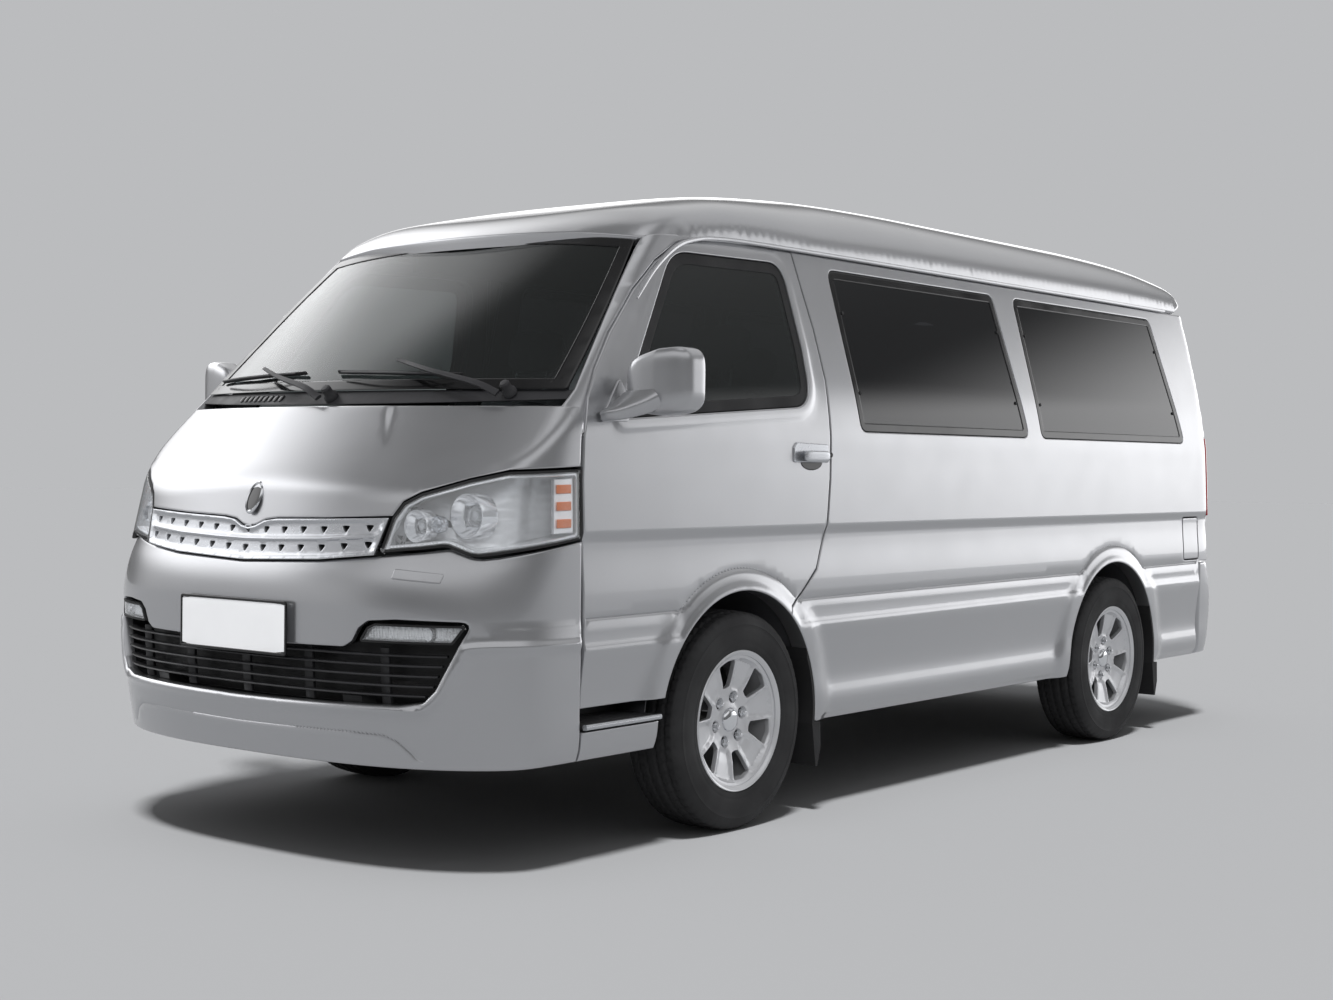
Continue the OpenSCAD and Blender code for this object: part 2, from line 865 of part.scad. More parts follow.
module mirror_left() {
    color(silver) mirror_piece();
}

module mirror_right() {
    color(silver) mirror([1, 0, 0]) mirror_piece();
}

module sliding_door() {
    color(silver) mirror([1, 0, 0]) difference() {
        intersection() {
            flank_wall(0, door_t, -far, far);
            left_of(0);
            across() slide_outline();
        }
        pane_hole() pane(pane_front);
    }
}

module sliding_glass() {
    color([0.2, 0.22, 0.24, 0.6]) mirror([1, 0, 0]) side_pane(pane_front);
}

module tailgate() {
    color(silver) difference() {
        intersection() {
            difference() {
                upper(0);
                upper(gate_t);
            }
            along(tail_y - 500, far) gate_outline();
        }
        along(tail_y - 500, far) offset(delta = -20) gate_window();
        intersection() {
            along(tail_y - 500, far) offset(delta = 2) gate_window();
            difference() {
                upper(-20);
                upper(glass_t + 3.3);
            }
        }
    }
}

module tailgate_glass() {
    color([0.2, 0.22, 0.24, 0.6]) intersection() {
        difference() {
            upper(3);
            upper(3 + glass_t);
        }
        along(tail_y - 500, far) gate_window();
    }
}

module fuel_flap() {
    color(silver) intersection() {
        flank_wall(0, flap_t, -far, far);
        left_of(0);
        across() flap_outline();
    }
}

engine_z = [floor_z - 180, plinth_z - 60];
module engine() {
    color([0.35, 0.35, 0.36]) box([-260, 260], [front_y - 150, front_y + 400], engine_z);
}

tow_y = tail_y - 150;
rail_z = floor_z - floor_t - 100;
tow_pitch = [420, 80];
bumper_t = 50;
tow_hole_r = 6.5;
module underbody() {
    color([0.15, 0.15, 0.15]) intersection() {
        lower(bumper_t + seat_gap);
        union() {
            both_sides() box([370, 430], [nose_y, tail_y], [rail_z, floor_z - floor_t - seat_gap]);
            for (y = [nose_y + 140, front_y + 600, rear_y - 500])
                box([-371, 371], [y, y + 60], [rail_z, floor_z - floor_t - 20]);
            difference() {
                box([-371, 371], [tow_y - 140, tow_y], [rail_z, floor_z - floor_t - 20]);
                for (x = [-1, 1], y = [-1, 1])
                    translate([x * tow_pitch[0] / 2, tow_y - 70 + y * tow_pitch[1] / 2, rail_z - 10])
                    cylinder(h = 100, r = tow_hole_r, $fn = 24);
            }
        }
    }
}

king_x = wheel_x - 80;
king_r = 20;
spindle_r = 17;
// One wishbone: an eye round the kingpin and an arm to the frame
module wishbone(z, x0) {
    difference() {
        union() {
            translate([king_x, front_y, z]) cylinder(h = 28, r = king_r + 14, $fn = 32);
            box([x0, king_x - king_r], [front_y - 20, front_y + 20], [z, z + 28]);
        }
        translate([king_x, front_y, z - 1]) cylinder(h = 30, r = king_r + seat_gap, $fn = 32);
    }
}

module front_suspension() {
    color([0.2, 0.2, 0.2]) {
        box([-300, 300], [front_y - 60, front_y + 60], [225, 310]);
        both_sides() {
            box([150, 220], [front_y - 50, front_y + 50], [309, engine_z[0] - seat_gap]);
            box([285, 365], [front_y - 50, front_y + 50], [300, rail_z - seat_gap]);
            wishbone(228, 290);
            difference() {
                wishbone(424, 380);
                box([0, 430 + seat_gap], [-far, far], [0, far]);
            }
        }
    }
}

module knuckle() {
    translate([king_x, front_y, 0]) {
        translate([0, 0, 205]) cylinder(h = 260, r = king_r, $fn = 32);
        translate([0, 0, tyre_r]) rotate([0, 90, 0]) cylinder(h = wheel_x - king_x + 40, r = spindle_r, $fn = 32);
    }
}

module knuckle_left() {
    color([0.3, 0.3, 0.3]) knuckle();
}

module knuckle_right() {
    color([0.3, 0.3, 0.3]) mirror([1, 0, 0]) knuckle();
}

// Leaf spring in side view: two straight halves from the axle up to the shackles
module leaf() {
    polygon([[rear_y - 520, 352], [rear_y - 60, 285], [rear_y + 60, 285], [rear_y + 520, 352], [rear_y + 520, 364],
        [rear_y + 60, 297], [rear_y - 60, 297], [rear_y - 520, 364]]);
}

module rear_axle() {
    color([0.2, 0.2, 0.2]) {
        translate([0, rear_y, tyre_r]) rotate([0, 90, 0]) {
            cylinder(h = 2 * (wheel_x - 110), r = 38, center = true, $fn = 32);
            cylinder(h = 2 * (wheel_x + 40), r = spindle_r, center = true, $fn = 32);
        }
        translate([0, rear_y, tyre_r]) sphere(110, $fn = 32);
        both_sides() {
            translate([400, 0, 0]) across(50) leaf();
            for (y = [-510, 470]) box([375, 425], [rear_y + y, rear_y + y + 40], [355, rail_z - seat_gap]);
        }
    }
}

module tyre(x, y) {
    color([0.1, 0.1, 0.1]) translate([x, y, tyre_r]) rotate([0, 90, 0]) rotate_extrude($fn = 64)
        polygon([[bead_r, -bead_z], [rim_r + 4, -tyre_w / 2 + 6], [rim_r + 50, -tyre_w / 2], [tyre_r - 30, -tyre_w / 2 + 8],
            [tyre_r - 6, -tyre_w / 2 + 26], [tyre_r, -60], [tyre_r, 60], [tyre_r - 6, tyre_w / 2 - 26],
            [tyre_r - 30, tyre_w / 2 - 8], [rim_r + 50, tyre_w / 2], [rim_r + 4, tyre_w / 2 - 6], [bead_r, bead_z]]);
}

bead_r = rim_r - 8;
bead_z = 80;
disc_z = 70;
lug_r = 69.85;
// Rim and hub in section, columns: radius, distance outwards from the middle
rim_section = [[spindle_r + 0.4, 12], [58, 12], [66, disc_z - 22], [rim_r - 30, disc_z - 18],
    [bead_r - 10, disc_z - 26], [bead_r - 8, -bead_z], [bead_r - 4, -bead_z - 10], [rim_r - 2, -bead_z - 10],
    [rim_r - 2, -bead_z - 6.6], [bead_r - seat_gap, -bead_z], [bead_r - seat_gap, bead_z],
    [rim_r - 2, bead_z + 6.6], [rim_r - 2, bead_z + 11], [bead_r - 4, bead_z + 11], [bead_r - 10, disc_z + 2],
    [rim_r - 30, disc_z], [40, disc_z], [34, disc_z + 12], [0, disc_z + 12], [0, 50], [spindle_r + 0.4, 50]];

// Opening between two spokes, wider towards the rim
module rim_window() {
    rounded(8) polygon([for (p = [[80, 7], [rim_r - 26, 15.5], [rim_r - 20, 0], [rim_r - 26, -15.5], [80, -7]])
        [p[0] * cos(p[1]), p[0] * sin(p[1])]]);
}

// Raised edge along one side of a spoke
module rim_rib() {
    polygon([[78, 14], [rim_r - 28, 40], [rim_r - 26, 47], [76, 20]]);
}

module both_edges() {
    children();
    mirror([0, 1, 0]) children();
}

module rim(x, y, s) {
    color([0.75, 0.76, 0.78]) translate([x, y, tyre_r]) rotate([0, s * 90, 0]) {
        difference() {
            rotate_extrude($fn = 64) polygon(rim_section);
            for (i = [0:spokes - 1]) rotate([0, 0, (i + 0.5) * 360 / spokes])
                translate([0, 0, disc_z - 60]) linear_extrude(70) rim_window();
            for (i = [0:spokes - 1]) rotate([0, 0, i * 360 / spokes]) translate([lug_r, 0, disc_z - 9])
                cylinder(h = 30, r = 15, $fn = 32);
        }
        for (i = [0:spokes - 1]) rotate([0, 0, i * 360 / spokes]) {
            both_edges() translate([0, 0, disc_z - 2]) linear_extrude(10) rim_rib();
            translate([lug_r, 0, disc_z - 14]) cylinder(h = 18, r = 9, $fn = 24);
        }
    }
}

module tyre_fl() { tyre(wheel_x, front_y); }
module tyre_fr() { tyre(-wheel_x, front_y); }
module tyre_rl() { tyre(wheel_x, rear_y); }
module tyre_rr() { tyre(-wheel_x, rear_y); }
module rim_fl() { rim(wheel_x, front_y, 1); }
module rim_fr() { rim(-wheel_x, front_y, -1); }
module rim_rl() { rim(wheel_x, rear_y, 1); }
module rim_rr() { rim(-wheel_x, rear_y, -1); }

// Mud flaps, leaning back from the top, one behind each wheel and held by the wheel arch
module mud_flaps() {
    color(dark) both_sides() for (y = [front_y, rear_y]) difference() {
        translate([half_w - 105, 0, 0]) across(190)
            polygon([[y + 340, 540], [y + 402, 150], [y + 412, 150], [y + 430, 210], [y + 412, 540]]);
        difference() {
            box([0, far], [y, y + far], [sill_z - seat_gap, far]);
            translate([0, y, tyre_r]) rotate([0, 90, 0])
                cylinder(h = 3 * far, r = arch_r - seat_gap, center = true, $fn = 64);
        }
        translate([0, y, tyre_r]) rotate([0, 90, 0]) cylinder(h = 3 * far, r = arch_r - 12, center = true, $fn = 64);
    }
}

floor();
side_left();
side_right();
roof();
nose_panel();
cowl();
front_bumper();
grille();
lower_grille();
headlamps();
fog_lamps();
side_steps();
rear_bumper();
tail_lamps();
windshield();
side_glass_left();
side_glass_right();
wipers();
dashboard();
steering_wheel();
front_seats();
rear_seats();
door_left();
door_glass_left();
mirror_left();
door_right();
door_glass_right();
mirror_right();
sliding_door();
sliding_glass();
tailgate();
tailgate_glass();
fuel_flap();
engine();
underbody();
front_suspension();
knuckle_left();
knuckle_right();
rear_axle();
tyre_fl();
tyre_fr();
tyre_rl();
tyre_rr();
rim_fl();
rim_fr();
rim_rl();
rim_rr();
mud_flaps();
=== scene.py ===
import bpy
import json
import math
import numpy as np
from mathutils import Matrix, Vector
from mathutils.geometry import delaunay_2d_cdt

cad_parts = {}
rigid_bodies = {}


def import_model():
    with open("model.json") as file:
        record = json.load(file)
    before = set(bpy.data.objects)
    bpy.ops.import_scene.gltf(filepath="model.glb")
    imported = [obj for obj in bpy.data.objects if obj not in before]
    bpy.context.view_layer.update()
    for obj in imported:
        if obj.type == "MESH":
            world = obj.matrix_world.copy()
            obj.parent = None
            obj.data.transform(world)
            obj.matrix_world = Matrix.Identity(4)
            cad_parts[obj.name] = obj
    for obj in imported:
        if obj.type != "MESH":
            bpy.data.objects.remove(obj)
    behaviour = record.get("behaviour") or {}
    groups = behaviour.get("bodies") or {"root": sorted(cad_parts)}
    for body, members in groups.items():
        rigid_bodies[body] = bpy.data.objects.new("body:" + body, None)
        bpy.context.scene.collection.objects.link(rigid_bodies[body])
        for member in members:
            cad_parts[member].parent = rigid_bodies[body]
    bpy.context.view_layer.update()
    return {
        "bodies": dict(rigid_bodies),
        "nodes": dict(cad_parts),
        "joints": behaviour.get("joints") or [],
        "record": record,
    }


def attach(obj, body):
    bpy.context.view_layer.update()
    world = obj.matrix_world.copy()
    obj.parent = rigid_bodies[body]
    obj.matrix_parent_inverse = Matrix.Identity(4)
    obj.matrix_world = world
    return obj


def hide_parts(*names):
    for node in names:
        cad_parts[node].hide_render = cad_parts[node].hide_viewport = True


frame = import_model()
nodes = frame["nodes"]
scene = bpy.context.scene
scene.view_settings.view_transform = "Standard"

# Camera solved from the photograph: place in metres, angles in degrees
cameraView = {"place": (4.2437, -6.0268, 1.1141), "yaw": -37.93, "pitch": -1.131, "roll": 0.70, "lens": 52.4}


def makeCamera(view):
    yaw, pitch, roll = (math.radians(view[k]) for k in ("yaw", "pitch", "roll"))
    ahead = Vector((math.sin(yaw) * math.cos(pitch), math.cos(yaw) * math.cos(pitch), math.sin(pitch)))
    side = ahead.cross(Vector((0, 0, 1))).normalized()
    up = side.cross(ahead)
    right = math.cos(roll) * side + math.sin(roll) * up
    top = -math.sin(roll) * side + math.cos(roll) * up
    data = bpy.data.cameras.new("camera")
    data.lens = view["lens"]
    data.sensor_width = 36
    data.clip_end = 200
    cam = bpy.data.objects.new("camera", data)
    scene.collection.objects.link(cam)
    turn = Matrix((right, top, -ahead)).transposed().to_4x4()
    cam.matrix_world = Matrix.Translation(view["place"]) @ turn
    scene.camera = cam


makeCamera(cameraView)
print("camera placed")


def srgb(r, g, b):
    # Screen colour 0 to 255 to linear light
    c = np.array([r, g, b]) / 255
    linear = np.where(c <= 0.04045, c / 12.92, ((c + 0.055) / 1.055) ** 2.4)
    return (*[float(v) for v in linear], 1.0)


studio = {"backdrop": (187, 188, 190), "ambient": 0.22, "dim": 0.15, "floorRadius": 60, "sun": 2.3,
          "sunFrom": (0.22, -0.32, 1.0), "sunSpread": 9.0}
# Soft walls that gloss and glass see: middle azimuth, half width and soft edge in degrees; lowest and highest sine of
# the elevation and its soft edge; level
softWalls = [
    (95, 30, 26, -0.30, 0.235, 0.040, 1.95),
    (218, 22, 24, -0.30, 0.34, 0.12, 0.45),
    (183, 27, 22, 0.28, 0.66, 0.17, 2.6),
    (95, 34, 30, 0.37, 0.90, 0.09, 0.50),
    (-45, 60, 30, 0.40, 0.80, 0.12, 0.7),
    (0, 180, 1, 0.97, 1.40, 0.04, 0.9),
]
# Fill lamps for the van alone: name, place, point it faces, width, height, power in watts
lamps = [
    ("frontLeft", (6.5, -8.5, 4.0), (0, -0.8, 1.0), 4.0, 3.0, 290),
    ("frontRight", (-6.0, -7.5, 4.2), (0, -1.5, 1.0), 3.5, 3.0, 290),
    ("side", (8.0, 1.0, 3.5), (0, 0.5, 1.0), 4.0, 3.0, 240),
    ("rear", (-2.5, 8.5, 4.5), (0, 1.0, 1.0), 4.0, 3.0, 380),
]


def newNodes(name, world=False):
    # Empty node tree of a new material, or of the world
    holder = bpy.data.worlds.new(name) if world else bpy.data.materials.new(name)
    holder.use_nodes = True
    holder.node_tree.nodes.clear()
    return holder, holder.node_tree.nodes, holder.node_tree.links


def socket(node, name, value):
    node.inputs[name].default_value = value


def mathNode(n, link, kind, first, second=None, third=None):
    node = n.new("ShaderNodeMath")
    node.operation = kind
    for place, value in enumerate((first, second, third)):
        if value is None:
            continue
        if isinstance(value, (int, float)):
            socket(node, place, value)
        else:
            link.new(value, node.inputs[place])
    return node.outputs[0]


def fadeNode(n, link, value, start, end):
    # 1 before the start, 0 past the end, an S between
    node = n.new("ShaderNodeMapRange")
    node.interpolation_type = "SMOOTHSTEP"
    for name, level in zip(("From Min", "From Max", "To Min", "To Max"), (start, end, 1, 0)):
        socket(node, name, level)
    link.new(value, node.inputs[0])
    return node.outputs[0]


def makeWorld():
    world, n, link = newNodes("studio", world=True)
    coordinate = n.new("ShaderNodeTexCoord")
    split = n.new("ShaderNodeSeparateXYZ")
    link.new(coordinate.outputs["Generated"], split.inputs[0])
    x, y, z = split.outputs
    total = None
    for azimuth, half, soft, low, high, edge, level in softWalls:
        c, s = math.cos(math.radians(azimuth)), math.sin(math.radians(azimuth))
        ahead = mathNode(n, link, "MULTIPLY_ADD", x, c, mathNode(n, link, "MULTIPLY", y, s))
        across = mathNode(n, link, "MULTIPLY_ADD", x, -s, mathNode(n, link, "MULTIPLY", y, c))
        angle = mathNode(n, link, "ABSOLUTE", mathNode(n, link, "ARCTAN2", across, ahead))
        side = fadeNode(n, link, angle, math.radians(half), math.radians(half + soft))
        middle = mathNode(n, link, "ABSOLUTE", mathNode(n, link, "SUBTRACT", z, (low + high) / 2))
        rise = fadeNode(n, link, middle, (high - low) / 2 - edge, (high - low) / 2 + edge)
        wall = mathNode(n, link, "MULTIPLY", side, rise)
        total = mathNode(n, link, "MULTIPLY_ADD", wall, level, studio["dim"] if total is None else total)
    gloss, ambient, seen = (n.new("ShaderNodeBackground") for _ in range(3))
    link.new(total, gloss.inputs["Strength"])
    socket(gloss, "Color", (1, 1, 1.01, 1))
    socket(ambient, "Color", (1, 1, 1, 1))
    socket(ambient, "Strength", studio["ambient"])
    socket(seen, "Color", srgb(*studio["backdrop"]))
    path = n.new("ShaderNodeLightPath")
    shiny = mathNode(n, link, "MAXIMUM", path.outputs["Is Glossy Ray"], path.outputs["Is Transmission Ray"])
    first, second = n.new("ShaderNodeMixShader"), n.new("ShaderNodeMixShader")
    link.new(shiny, first.inputs[0])
    link.new(ambient.outputs[0], first.inputs[1])
    link.new(gloss.outputs[0], first.inputs[2])
    link.new(path.outputs["Is Camera Ray"], second.inputs[0])
    link.new(first.outputs[0], second.inputs[1])
    link.new(seen.outputs[0], second.inputs[2])
    link.new(second.outputs[0], n.new("ShaderNodeOutputWorld").inputs[0])
    scene.world = world


def makeFloor():
    # Plain round floor whose shade is the backdrop's own under the sun and the ambient light
    angle = np.linspace(0, 2 * np.pi, 96, endpoint=False)
    ring = studio["floorRadius"] * np.stack([np.cos(angle), np.sin(angle), 0 * angle], 1)
    mesh = bpy.data.meshes.new("studioFloor")
    mesh.from_pydata(ring.tolist(), [], [list(range(96))])
    floor = bpy.data.objects.new("studioFloor", mesh)
    scene.collection.objects.link(floor)
    material, n, link = newNodes("studioFloor")
    matte = n.new("ShaderNodeBsdfPrincipled")
    light = studio["sun"] * Vector(studio["sunFrom"]).normalized().z + math.pi * studio["ambient"]
    shade = [level * math.pi / light for level in srgb(*studio["backdrop"])[:3]]
    socket(matte, "Base Color", shade + [1])
    socket(matte, "Roughness", 1.0)
    socket(matte, "Specular IOR Level", 0.0)
    link.new(matte.outputs[0], n.new("ShaderNodeOutputMaterial").inputs[0])
    mesh.materials.append(material)
    return floor


def addLamp(name, kind, place, target):
    data = bpy.data.lights.new(name, kind)
    lamp = bpy.data.objects.new(name, data)
    lamp.location = place
    lamp.rotation_euler = (Vector(target) - Vector(place)).to_track_quat("-Z", "Y").to_euler()
    lamp.visible_glossy = False
    lamp.visible_transmission = False
    scene.collection.objects.link(lamp)
    return lamp, data


def makeLamps(floor):
    # One sun for the floor's shadow, and soft boxes that leave the floor out
    lamp, data = addLamp("sun", "SUN", [8 * c for c in studio["sunFrom"]], (0, 0, 0))
    data.energy = studio["sun"]
    data.angle = math.radians(studio["sunSpread"])
    for name, place, target, width, height, power in lamps:
        lamp, data = addLamp(name, "AREA", place, target)
        data.shape = "RECTANGLE"
        data.size, data.size_y, data.energy = width, height, power
        others = bpy.data.collections.new(name + "Others")
        others.objects.link(floor)
        others.collection_objects[0].light_linking.link_state = "EXCLUDE"
        lamp.light_linking.receiver_collection = others


makeWorld()
makeLamps(makeFloor())
print("studio lit")

# Finishes: screen colour, metal share, roughness, then the fine detail of each.
# grain: (size in 1/m, bump height in mm); mottle: (size in 1/m, share of lightness); polish: spread of the roughness
finishes = {
    "paint": dict(colour=(176, 177, 180), metal=0.90, rough=0.30, coat=1.0, coatRough=0.03, grain=(90, 0.010),
                  mottle=(420, 0.025), polish=0.02),
    "underPaint": dict(colour=(96, 97, 100), metal=0.2, rough=0.55, grain=(900, 0.05), mottle=(40, 0.08), polish=0.1),
    "blackPlastic": dict(colour=(34, 34, 36), rough=0.55, grain=(1400, 0.05), mottle=(60, 0.12), polish=0.12),
    "glossBlack": dict(colour=(14, 14, 15), rough=0.16, grain=(300, 0.01), mottle=(30, 0.1), polish=0.06),
    "rubber": dict(colour=(27, 27, 28), rough=0.72, grain=(800, 0.06), mottle=(25, 0.18), polish=0.1),
    "tyre": dict(colour=(30, 30, 31), rough=0.78, grain=(500, 0.10), mottle=(18, 0.25), polish=0.12),
    "rim": dict(colour=(198, 199, 202), metal=0.72, rough=0.38, coat=0.5, coatRough=0.1, grain=(220, 0.004),
                mottle=(120, 0.02), polish=0.03),
    "chrome": dict(colour=(225, 227, 230), metal=1.0, rough=0.07, grain=(300, 0.004), mottle=(50, 0.03), polish=0.03),
    "silverTrim": dict(colour=(188, 190, 194), metal=0.85, rough=0.24, grain=(1500, 0.01), mottle=(200, 0.04),
                       polish=0.05),
    "chassis": dict(colour=(30, 30, 31), rough=0.6, grain=(260, 0.18), mottle=(12, 0.3), polish=0.15),
    "castMetal": dict(colour=(98, 97, 95), metal=0.7, rough=0.5, grain=(420, 0.2), mottle=(20, 0.25), polish=0.15),
    "trimGrey": dict(colour=(108, 108, 110), rough=0.62, grain=(1100, 0.08), mottle=(30, 0.08), polish=0.08),
    "trimDark": dict(colour=(58, 58, 61), rough=0.6, grain=(1100, 0.08), mottle=(30, 0.1), polish=0.1),
    "carpet": dict(colour=(62, 61, 62), rough=0.95, grain=(700, 0.6), mottle=(90, 0.35), polish=0.04),
    "plateWhite": dict(colour=(232, 233, 235), rough=0.42, grain=(500, 0.02), mottle=(14, 0.03), polish=0.1),
    "amber": dict(colour=(190, 92, 0), rough=0.4, grain=(260, 0.25), mottle=(150, 0.15), polish=0.05),
    "lampRed": dict(colour=(140, 12, 12), rough=0.18, grain=(200, 0.3), mottle=(110, 0.15), polish=0.05),
    "lampChrome": dict(colour=(250, 250, 251), metal=0.82, rough=0.09, grain=(180, 0.01), mottle=(60, 0.02),
                       polish=0.03),
    "reflector": dict(colour=(250, 250, 251), metal=0.35, rough=0.16, grain=(160, 0.5), mottle=(90, 0.12), polish=0.08),
    "mirrorGlass": dict(colour=(200, 205, 210), metal=1.0, rough=0.03, grain=(100, 0.002), mottle=(10, 0.02),
                        polish=0.02),
}
# Panes: screen tint, transmission share, roughness
glassKinds = {
    "clearGlass": dict(tint=(112, 118, 118), through=0.97, rough=0.0),
    "doorGlass": dict(tint=(92, 97, 97), through=0.92, rough=0.0),
    "tintedGlass": dict(tint=(34, 35, 37), through=0.60, rough=0.0),
    "lens": dict(tint=(245, 247, 250), through=0.96, rough=0.02),
}
materials = {}


def noiseNode(n, link, size, detail):
    # Noise on the piece's own coordinates
    node = n.new("ShaderNodeTexNoise")
    socket(node, "Scale", size)
    socket(node, "Detail", detail)
    link.new(n.new("ShaderNodeTexCoord").outputs["Object"], node.inputs["Vector"])
    return node.outputs["Fac"]


def toneNode(n, link, shader, colour, size, spread, detail):
    # Base colour lightened and darkened in spots
    tone = n.new("ShaderNodeMix")
    tone.data_type = "RGBA"
    base = np.array(srgb(*colour)[:3])
    socket(tone, "A", (*(base * (1 - spread)).tolist(), 1))
    socket(tone, "B", (*np.clip(base * (1 + spread), 0, 1).tolist(), 1))
    link.new(noiseNode(n, link, size, detail), tone.inputs["Factor"])
    link.new(tone.outputs["Result"], shader.inputs["Base Color"])
    return base


def makeFinish(name, colour, rough, metal=0.0, coat=0.0, coatRough=0.03, grain=(500, 0.05), mottle=(50, 0.1),
               polish=0.1, weave=None):
    material, n, link = newNodes(name)
    out = n.new("ShaderNodeOutputMaterial")
    shader = n.new("ShaderNodeBsdfPrincipled")
    link.new(shader.outputs[0], out.inputs[0])
    socket(shader, "Metallic", metal)
    socket(shader, "Coat Weight", coat)
    socket(shader, "Coat Roughness", coatRough)
    toneNode(n, link, shader, colour, mottle[0], mottle[1], 3.0)
    # Roughness: slow wear patches
    wear = n.new("ShaderNodeMapRange")
    socket(wear, "From Min", 0.3)
    socket(wear, "From Max", 0.7)
    socket(wear, "To Min", max(0.01, rough - polish))
    socket(wear, "To Max", min(1.0, rough + polish))
    link.new(noiseNode(n, link, 7.0, 5.0), wear.inputs[0])
    link.new(wear.outputs[0], shader.inputs["Roughness"])
    bump = n.new("ShaderNodeBump")
    socket(bump, "Distance", grain[1] / 1000)
    socket(bump, "Strength", 0.6)
    if weave:
        # Cloth: two crossing ribs, weave times per metre
        ribs = []
        for direction in ("X", "Z"):
            wave = n.new("ShaderNodeTexWave")
            wave.bands_direction = direction
            socket(wave, "Scale", weave)
            socket(wave, "Distortion", 1.2)
            link.new(n.new("ShaderNodeTexCoord").outputs["Object"], wave.inputs["Vector"])
            ribs.append(wave.outputs["Fac"])
        link.new(mathNode(n, link, "ADD", *ribs), bump.inputs["Height"])
    else:
        link.new(noiseNode(n, link, grain[0], 2.0), bump.inputs["Height"])
    link.new(bump.outputs[0], shader.inputs["Normal"])
    materials[name] = material
    return shader


def makePane(name, tint, through, rough):
    material, n, link = newNodes(name)
    out = n.new("ShaderNodeOutputMaterial")
    shader = n.new("ShaderNodeBsdfPrincipled")
    socket(shader, "Transmission Weight", through)
    socket(shader, "IOR", 1.45)
    base = toneNode(n, link, shader, tint, 3.0, 0.06, 2.0)
    socket(shader, "Roughness", rough)
    # Lamps shine straight through, dimmed by the tint
    clear = n.new("ShaderNodeBsdfTransparent")
    socket(clear, "Color", (*(base ** 0.5 * through).tolist(), 1))
    mix = n.new("ShaderNodeMixShader")
    link.new(n.new("ShaderNodeLightPath").outputs["Is Shadow Ray"], mix.inputs[0])
    link.new(shader.outputs[0], mix.inputs[1])
    link.new(clear.outputs[0], mix.inputs[2])
    link.new(mix.outputs[0], out.inputs[0])
    materials[name] = material


for finishName, finish in finishes.items():
    makeFinish(finishName, **finish)
for paneName, pane in glassKinds.items():
    makePane(paneName, **pane)
cloth = makeFinish("seatCloth", (112, 112, 116), 0.9, grain=(900, 0.35), mottle=(240, 0.22), polish=0.05, weave=260)
socket(cloth, "Sheen Weight", 0.35)
socket(cloth, "Sheen Roughness", 0.4)
print("finishes mixed:", len(materials))

# Body's skin: one smooth form that every panel is cut from, metres, nose at y = -2.535
skin = {
    # Flank: height and half width
    "flank": [(0.285, 0.803), (0.315, 0.826), (0.37, 0.838), (0.45, 0.834), (0.56, 0.842), (0.62, 0.845),
              (0.90, 0.841), (1.06, 0.833), (1.20, 0.825), (1.80, 0.687), (2.10, 0.618)],
    # Ends: set-back, height, lean in degrees, depth of the rounded corners
    "nose": [(0.035, 0.824, 15, 0.48), (0.090, 1.054, 34, 0.33), (0.134, 1.119, 50, 0.19)],
    "bumper": [(0.016, 0.600, 0, 0.50), (0.012, 0.775, 27, 0.48), (0.016, 0.480, -12, 0.50)],
    "tail": [(0.065, 0.900, 2, 0.25), (0.085, 1.330, 10, 0.22)],
    "rearBumper": [(0, 0.600, 0, 0.30), (0.01, 0.66, 30, 0.30), (0.01, 0.36, -20, 0.30)],
    "screen": (0.345, 1.290, 46.5), "screenRadius": 2.6,
    # Roof: place along the van, height of the gutters, height of the crown, power of the arch
    "roof": [(-1.90, 1.640, 1.760, 6.0), (-1.686, 1.690, 1.820, 6.0), (-1.46, 1.755, 1.884, 5.0),
             (-1.219, 1.792, 1.942, 4.2), (-0.964, 1.800, 1.990, 3.2), (-0.691, 1.802, 2.026, 2.6),
             (-0.40, 1.803, 2.047, 2.6), (0.0, 1.803, 2.057, 2.6), (1.50, 1.803, 2.057, 2.6),
             (1.90, 1.803, 2.046, 2.6), (2.15, 1.803, 2.020, 2.6), (2.35, 1.800, 1.975, 2.7),
             (2.60, 1.790, 1.90, 2.8)],
    "gutterHalf": 0.69, "noseRound": 0.016, "cornerRound": 0.03, "screenRound": 0.05, "tailRound": 0.06,
}


def smoothLine(value, places, levels, spread):
    # Straight pieces between the rows, averaged over a window so that their corners turn round
    return np.mean([np.interp(value + shift, places, levels) for shift in np.linspace(-spread, spread, 9)], 0)


def softStep(x):
    # 0 below -1, 1 above +1, an S between
    t = np.clip(0.5 + 0.5 * x, 0, 1)
    return t * t * (3 - 2 * t)


def smoothMax(parts, radius):
    # Larger of the values, rounded where two of them are nearly equal
    total = parts[0]
    for part in parts[1:]:
        gap = np.maximum(radius - np.abs(total - part), 0)
        total = np.maximum(total, part) + gap * gap / (4 * radius)
    return total


def endField(p, row, forward, halfWidth=0.847, power=2.7):
    # Rounded end: (|x| / a)^n + (depth / b)^n = 1, carried up along a lean; result in metres, positive outside
    back, height, lean, depth = row
    lean = math.radians(lean)
    out = (forward * p[:, 1] - 2.535 + back) * math.cos(lean) + (p[:, 2] - height) * math.sin(lean)
    across = np.abs(p[:, 0]) / halfWidth
    along = np.maximum(out + depth, 1e-9) / depth
    level = np.maximum((across ** power + along ** power) ** (1 / power), 1e-6)
    slope = np.hypot((across / level) ** (power - 1) / halfWidth, (along / level) ** (power - 1) / depth)
    return (level - 1) / np.maximum(slope, 0.3)


